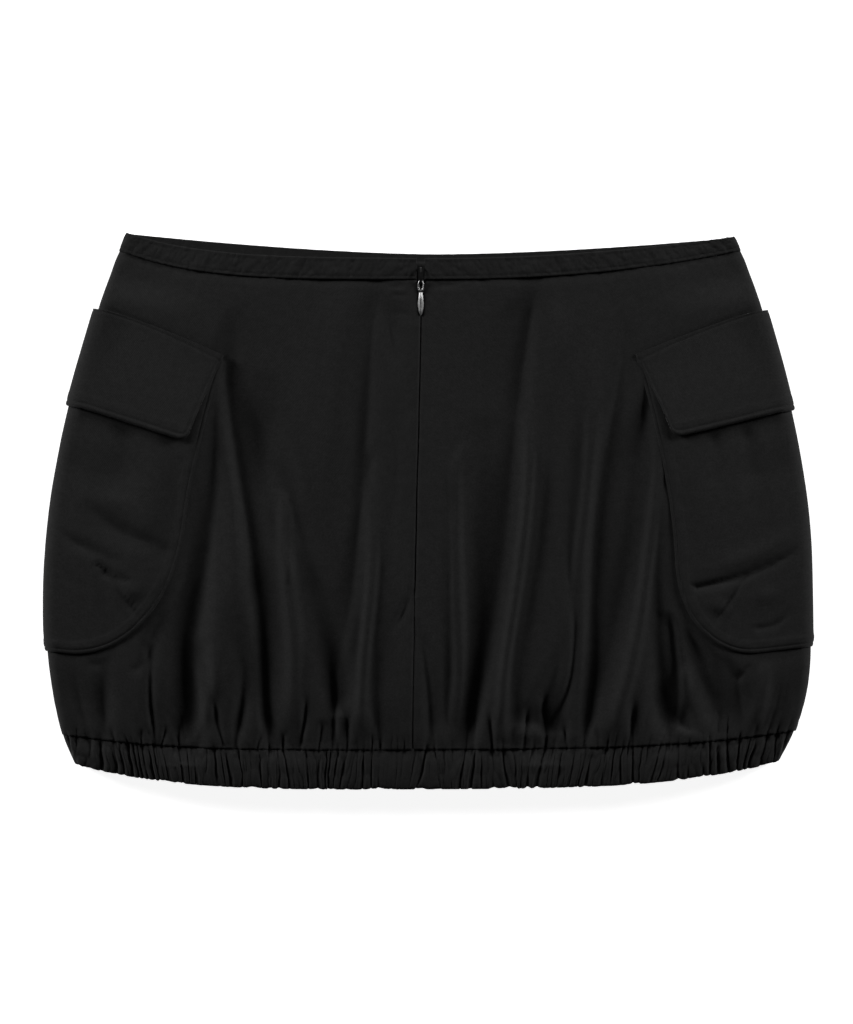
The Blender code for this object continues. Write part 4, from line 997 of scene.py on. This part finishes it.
def capsules(name, centres, along, size):
    # one small rounded bar for each centre; size is length, width and height
    seed = bmesh.new()
    bmesh.ops.create_uvsphere(seed, u_segments=6, v_segments=5, radius=0.5)
    corners = np.array([vert.co[:] for vert in seed.verts])
    faces = [[vert.index for vert in face.verts] for face in seed.faces]
    seed.free()
    along = along / np.linalg.norm(along, axis=1, keepdims=True)
    aside = np.cross([0.0, 0.0, 1.0], along)
    aside = aside / np.linalg.norm(aside, axis=1, keepdims=True)
    over = np.cross(along, aside)
    # the sphere's own axis lies along the bar, squared up so that its ends are blunt
    reach = np.sign(corners[:, 2]) * (2.0 * np.abs(corners[:, 2]))**0.6 / 2.0
    points = (centres[:, None] + along[:, None] * (reach * size[0])[None, :, None]
              + aside[:, None] * (corners[:, 0] * size[1])[None, :, None]
              + over[:, None] * (corners[:, 1] * size[2])[None, :, None])
    count = len(corners)
    allFaces = [[k * count + corner for corner in face] for k in range(len(centres))
                for face in faces]
    mesh = bpy.data.meshes.new(name)
    mesh.from_pydata((points.reshape(-1, 3) * mm).tolist(), [], allFaces)
    mesh.shade_smooth()
    mesh.update()
    return addPiece(name, mesh)


stitchLook = {"pitch": 2.9, "half": 0.8, "size": (2.0, 0.5, 0.4), "sink": 0.06}


def stitchRow(stem, surface, first, second):
    # surface(first, second) gives points; the row follows the two arrays over it
    points = surface(first, second)
    run = np.concatenate([[0.0], np.cumsum(np.linalg.norm(np.diff(points, axis=0), axis=1))])
    marks = np.arange(stitchLook["pitch"] / 2.0, run[-1], stitchLook["pitch"])

    def pointsAt(shift):
        return surface(np.interp(marks + shift, run, first),
                       np.interp(marks + shift, run, second))

    centres = pointsAt(0.0)
    along = pointsAt(stitchLook["half"]) - pointsAt(-stitchLook["half"])
    centres[:, 2] -= stitchLook["sink"]
    piece = capsules(stem + "_stitches", centres, along, stitchLook["size"])
    return finish(piece, thread)


def pocketRow(side):
    piece = pocketCuts[side]
    inset = pocketLook["stitch"]
    a, b = piece["cornerWidth"] - inset, piece["cornerDrop"] - inset
    straight = piece["half"] - piece["cornerWidth"]
    turn = np.linspace(0.0, math.pi / 2.0, 90)
    mouth = flapCuts[side]["top"] + flapCuts[side]["topDroop"] + 1.0
    low = piece["foot"] - piece["cornerDrop"]
    girth = np.concatenate([np.full(60, straight + a), straight + a * np.cos(turn),
                            np.linspace(straight, 3.0, 12)[1:]])
    down = np.concatenate([np.linspace(mouth, low, 60), low + b * np.sin(turn),
                           np.full(11, low + b)])
    stitchRow(sided("pocket", side), lambda g, d: pocketSurface(side, g, d), girth, down)


def flapRow(side):
    piece = flapCuts[side]
    corner = flapLook["corner"] - flapLook["stitch"]
    drop = np.linspace(0.06, 1.0, 60)
    half = share(piece["topHalf"], piece["footHalf"], drop) - flapLook["stitch"]
    foot = flapFoot(side, half)
    sideDown = share(flapTop(side, half), foot - flapLook["footStitch"] - corner, drop)
    turn = np.linspace(0.0, math.pi / 2.0, 14)[1:]
    cornerGirth = half[-1] - corner + corner * np.cos(turn)
    cornerDown = foot[-1] - flapLook["footStitch"] - corner + corner * np.sin(turn)
    girth = np.linspace(half[-1] - corner, 3.0, 70)[1:]
    down = flapFoot(side, girth) - flapLook["footStitch"]
    stitchRow(sided("flap", side), lambda g, d: flapSurface(side, g, d),
              np.concatenate([half, cornerGirth, girth]),
              np.concatenate([sideDown, cornerDown, down]))


def bandRow(side):
    down = np.full(200, cut["bandHeight"] - cut["bandStitch"])
    girth = np.linspace(3.0, seamGirth(side, down)[0] - 4.0, 200)
    stitchRow(sided("waistband", side), lambda g, d: bandSurface(side, g, d), girth, down)


def casingRow():
    part = np.linspace(0.008, 0.992, 900)
    foot = cut["length"] - casingLook["thick"] / 2.0 - cut["casingTop"]
    turn = np.full(900, casingLook["outside"] * casingLook["stitch"] / foot)
    stitchRow("casing", casingSurface, part, turn)


for side in (-1, 1):
    for row in (pocketRow, flapRow, bandRow):
        row(side)
casingRow()
print("stitches made")

# ---- zip: tape and slider keep the part's shape, the coil and the pull are made here

zipLook = {"pitch": 0.85, "coilSize": (1.7, 0.5, 0.5), "coilOut": -1.9, "hingeY": 143.524,
           "hingeZ": 17.074, "ringWidth": 4.0, "ringLength": 7.0, "ringTube": 0.5,
           "tabWidth": 3.5, "tabLength": 15.3, "tabRise": 0.85, "tabWall": 0.4}


def buildCoil():
    down = np.arange(16.0, 216.0, zipLook["pitch"])
    centres = spot(-1, girthAtSeam(down), down, np.full(len(down), zipLook["coilOut"]))
    centres[:, 0] += np.where(np.arange(len(down)) % 2 == 0, -0.3, 0.3)
    along = np.tile([1.0, 0.12, 0.0], (len(down), 1))
    finish(capsules("zip_coil", centres, along, zipLook["coilSize"]), tape)


def buildPull():
    # a ring and a teardrop tab, ridged along its middle
    x = (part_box("zip_pull")[0][0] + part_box("zip_pull")[1][0]) / 2.0
    y, z = zipLook["hingeY"] * mm, zipLook["hingeZ"] * mm
    mesh = gridMesh("zip_pull_tab", 24, 40)
    start = zipLook["ringLength"] - 0.9
    for vert in mesh.vertices:
        u, t = 2.0 * vert.co.x, 0.5 - vert.co.y
        swell = max(math.sin(math.pi * t**1.35), 0.0)**0.75
        half = 0.75 * (1.0 - t)**2 + (zipLook["tabWidth"] / 2.0 - 0.2) * swell + 0.12
        ridge = min(1.0 - abs(u), 0.86)
        up = zipLook["tabRise"] * ridge * min(half / 1.4, 1.0)
        vert.co = (half * u, -start - zipLook["tabLength"] * t, up)
    mesh.transform(Matrix.Translation((x, y, z - 0.1 * mm)) @ Matrix.Scale(mm, 4))
    tab = addPiece("zip_pull_tab", mesh)
    addWall(tab, zipLook["tabWall"])
    mesh.set_sharp_from_angle(angle=math.radians(50))
    finish(tab, metal, "pull")
    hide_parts("zip_pull")
    mesh = gridMesh("zip_pull_ring", 40, 10)
    tube = zipLook["ringTube"]
    wide, tall = zipLook["ringWidth"] / 2.0 - tube, zipLook["ringLength"] / 2.0 - tube
    for vert in mesh.vertices:
        turn, around = 2.0 * math.pi * (vert.co.x + 0.5), 2.0 * math.pi * (vert.co.y + 0.5)
        reach = 1.0 + tube * math.cos(around) / wide
        squarer = (abs(math.cos(turn))**0.75, abs(math.sin(turn))**0.75)
        vert.co = (math.copysign(squarer[0], math.cos(turn)) * wide * reach,
                   math.copysign(squarer[1], math.sin(turn)) * tall * reach
                   - zipLook["ringLength"] / 2.0 + 0.5, tube * math.sin(around))
    weld(mesh, 1e-4, turnOut=True)
    mesh.transform(Matrix.Translation((x, y, z)) @ Matrix.Scale(mm, 4))
    mesh.shade_smooth()
    finish(addPiece("zip_pull_ring", mesh), metal, "pull")


buildCoil()
buildPull()
for name, material in (("zip_slider", darkMetal), ("zip_tape", tape)):
    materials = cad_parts[name].data.materials
    materials.clear()
    materials.append(material)
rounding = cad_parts["zip_slider"].modifiers.new("rounding", "BEVEL")
rounding.width = 0.22 * mm
rounding.segments = 2
rounding.limit_method = "ANGLE"
print("zip made")

# ---- floor, light and camera, in metres

stageLook = {"floorSize": 6.0, "floorDrop": 0.0002, "camera": (-0.0009, -0.0006, 2.40),
             "lens": 134.0, "world": 0.016}
lights = (
    ("left light", (-2.75, 1.45, 0.95), (0, 0, 0.95), (1.0, 0.9), 104.0),
    ("right light", (2.75, 1.45, 0.95), (0, 0, 0.95), (1.0, 0.9), 99.0),
    ("high light", (-0.1, 1.5, 1.6), (0, 0, 0), (0.6, 0.6), 2.2),
)


def buildFloor():
    floor = addPiece("floor", gridMesh("floor", 1, 1, stageLook["floorSize"] / 2.0))
    floor.location.z = -stageLook["floorDrop"]
    white = newMaterial("paper white", **{"Base Color": grey(0.93), "Roughness": 0.9,
                                          "Emission Color": grey(1.0),
                                          "Emission Strength": 0.9})[0]
    floor.data.materials.append(white)
    # the cloth gets no light from below, or its folds would be paler than in the photo
    floor.visible_diffuse = False


def areaLight(name, place, aim, size, power):
    lamp = bpy.data.lights.new(name, "AREA")
    lamp.shape = "RECTANGLE"
    lamp.size, lamp.size_y = size
    lamp.energy = power
    made = addPiece(name, lamp)
    made.location = place
    made.rotation_euler = (Vector(aim) - Vector(place)).to_track_quat("-Z", "Y").to_euler()


def buildLightAndCamera():
    for light in lights:
        areaLight(*light)
    world = bpy.data.worlds.new("studio")
    bpy.context.scene.world = world
    world.use_nodes = True
    background = world.node_tree.nodes["Background"]
    background.inputs["Color"].default_value = grey(1.0)
    background.inputs["Strength"].default_value = stageLook["world"]
    camera = bpy.data.cameras.new("camera")
    camera.lens = stageLook["lens"]
    camera.sensor_fit = "VERTICAL"
    camera.sensor_height = 36.0
    camera.clip_end = 20.0
    made = addPiece("camera", camera)
    made.location = stageLook["camera"]
    bpy.context.scene.camera = made
    bpy.context.scene.view_settings.view_transform = "Standard"


buildFloor()
buildLightAndCamera()
print("stage, light and camera made")
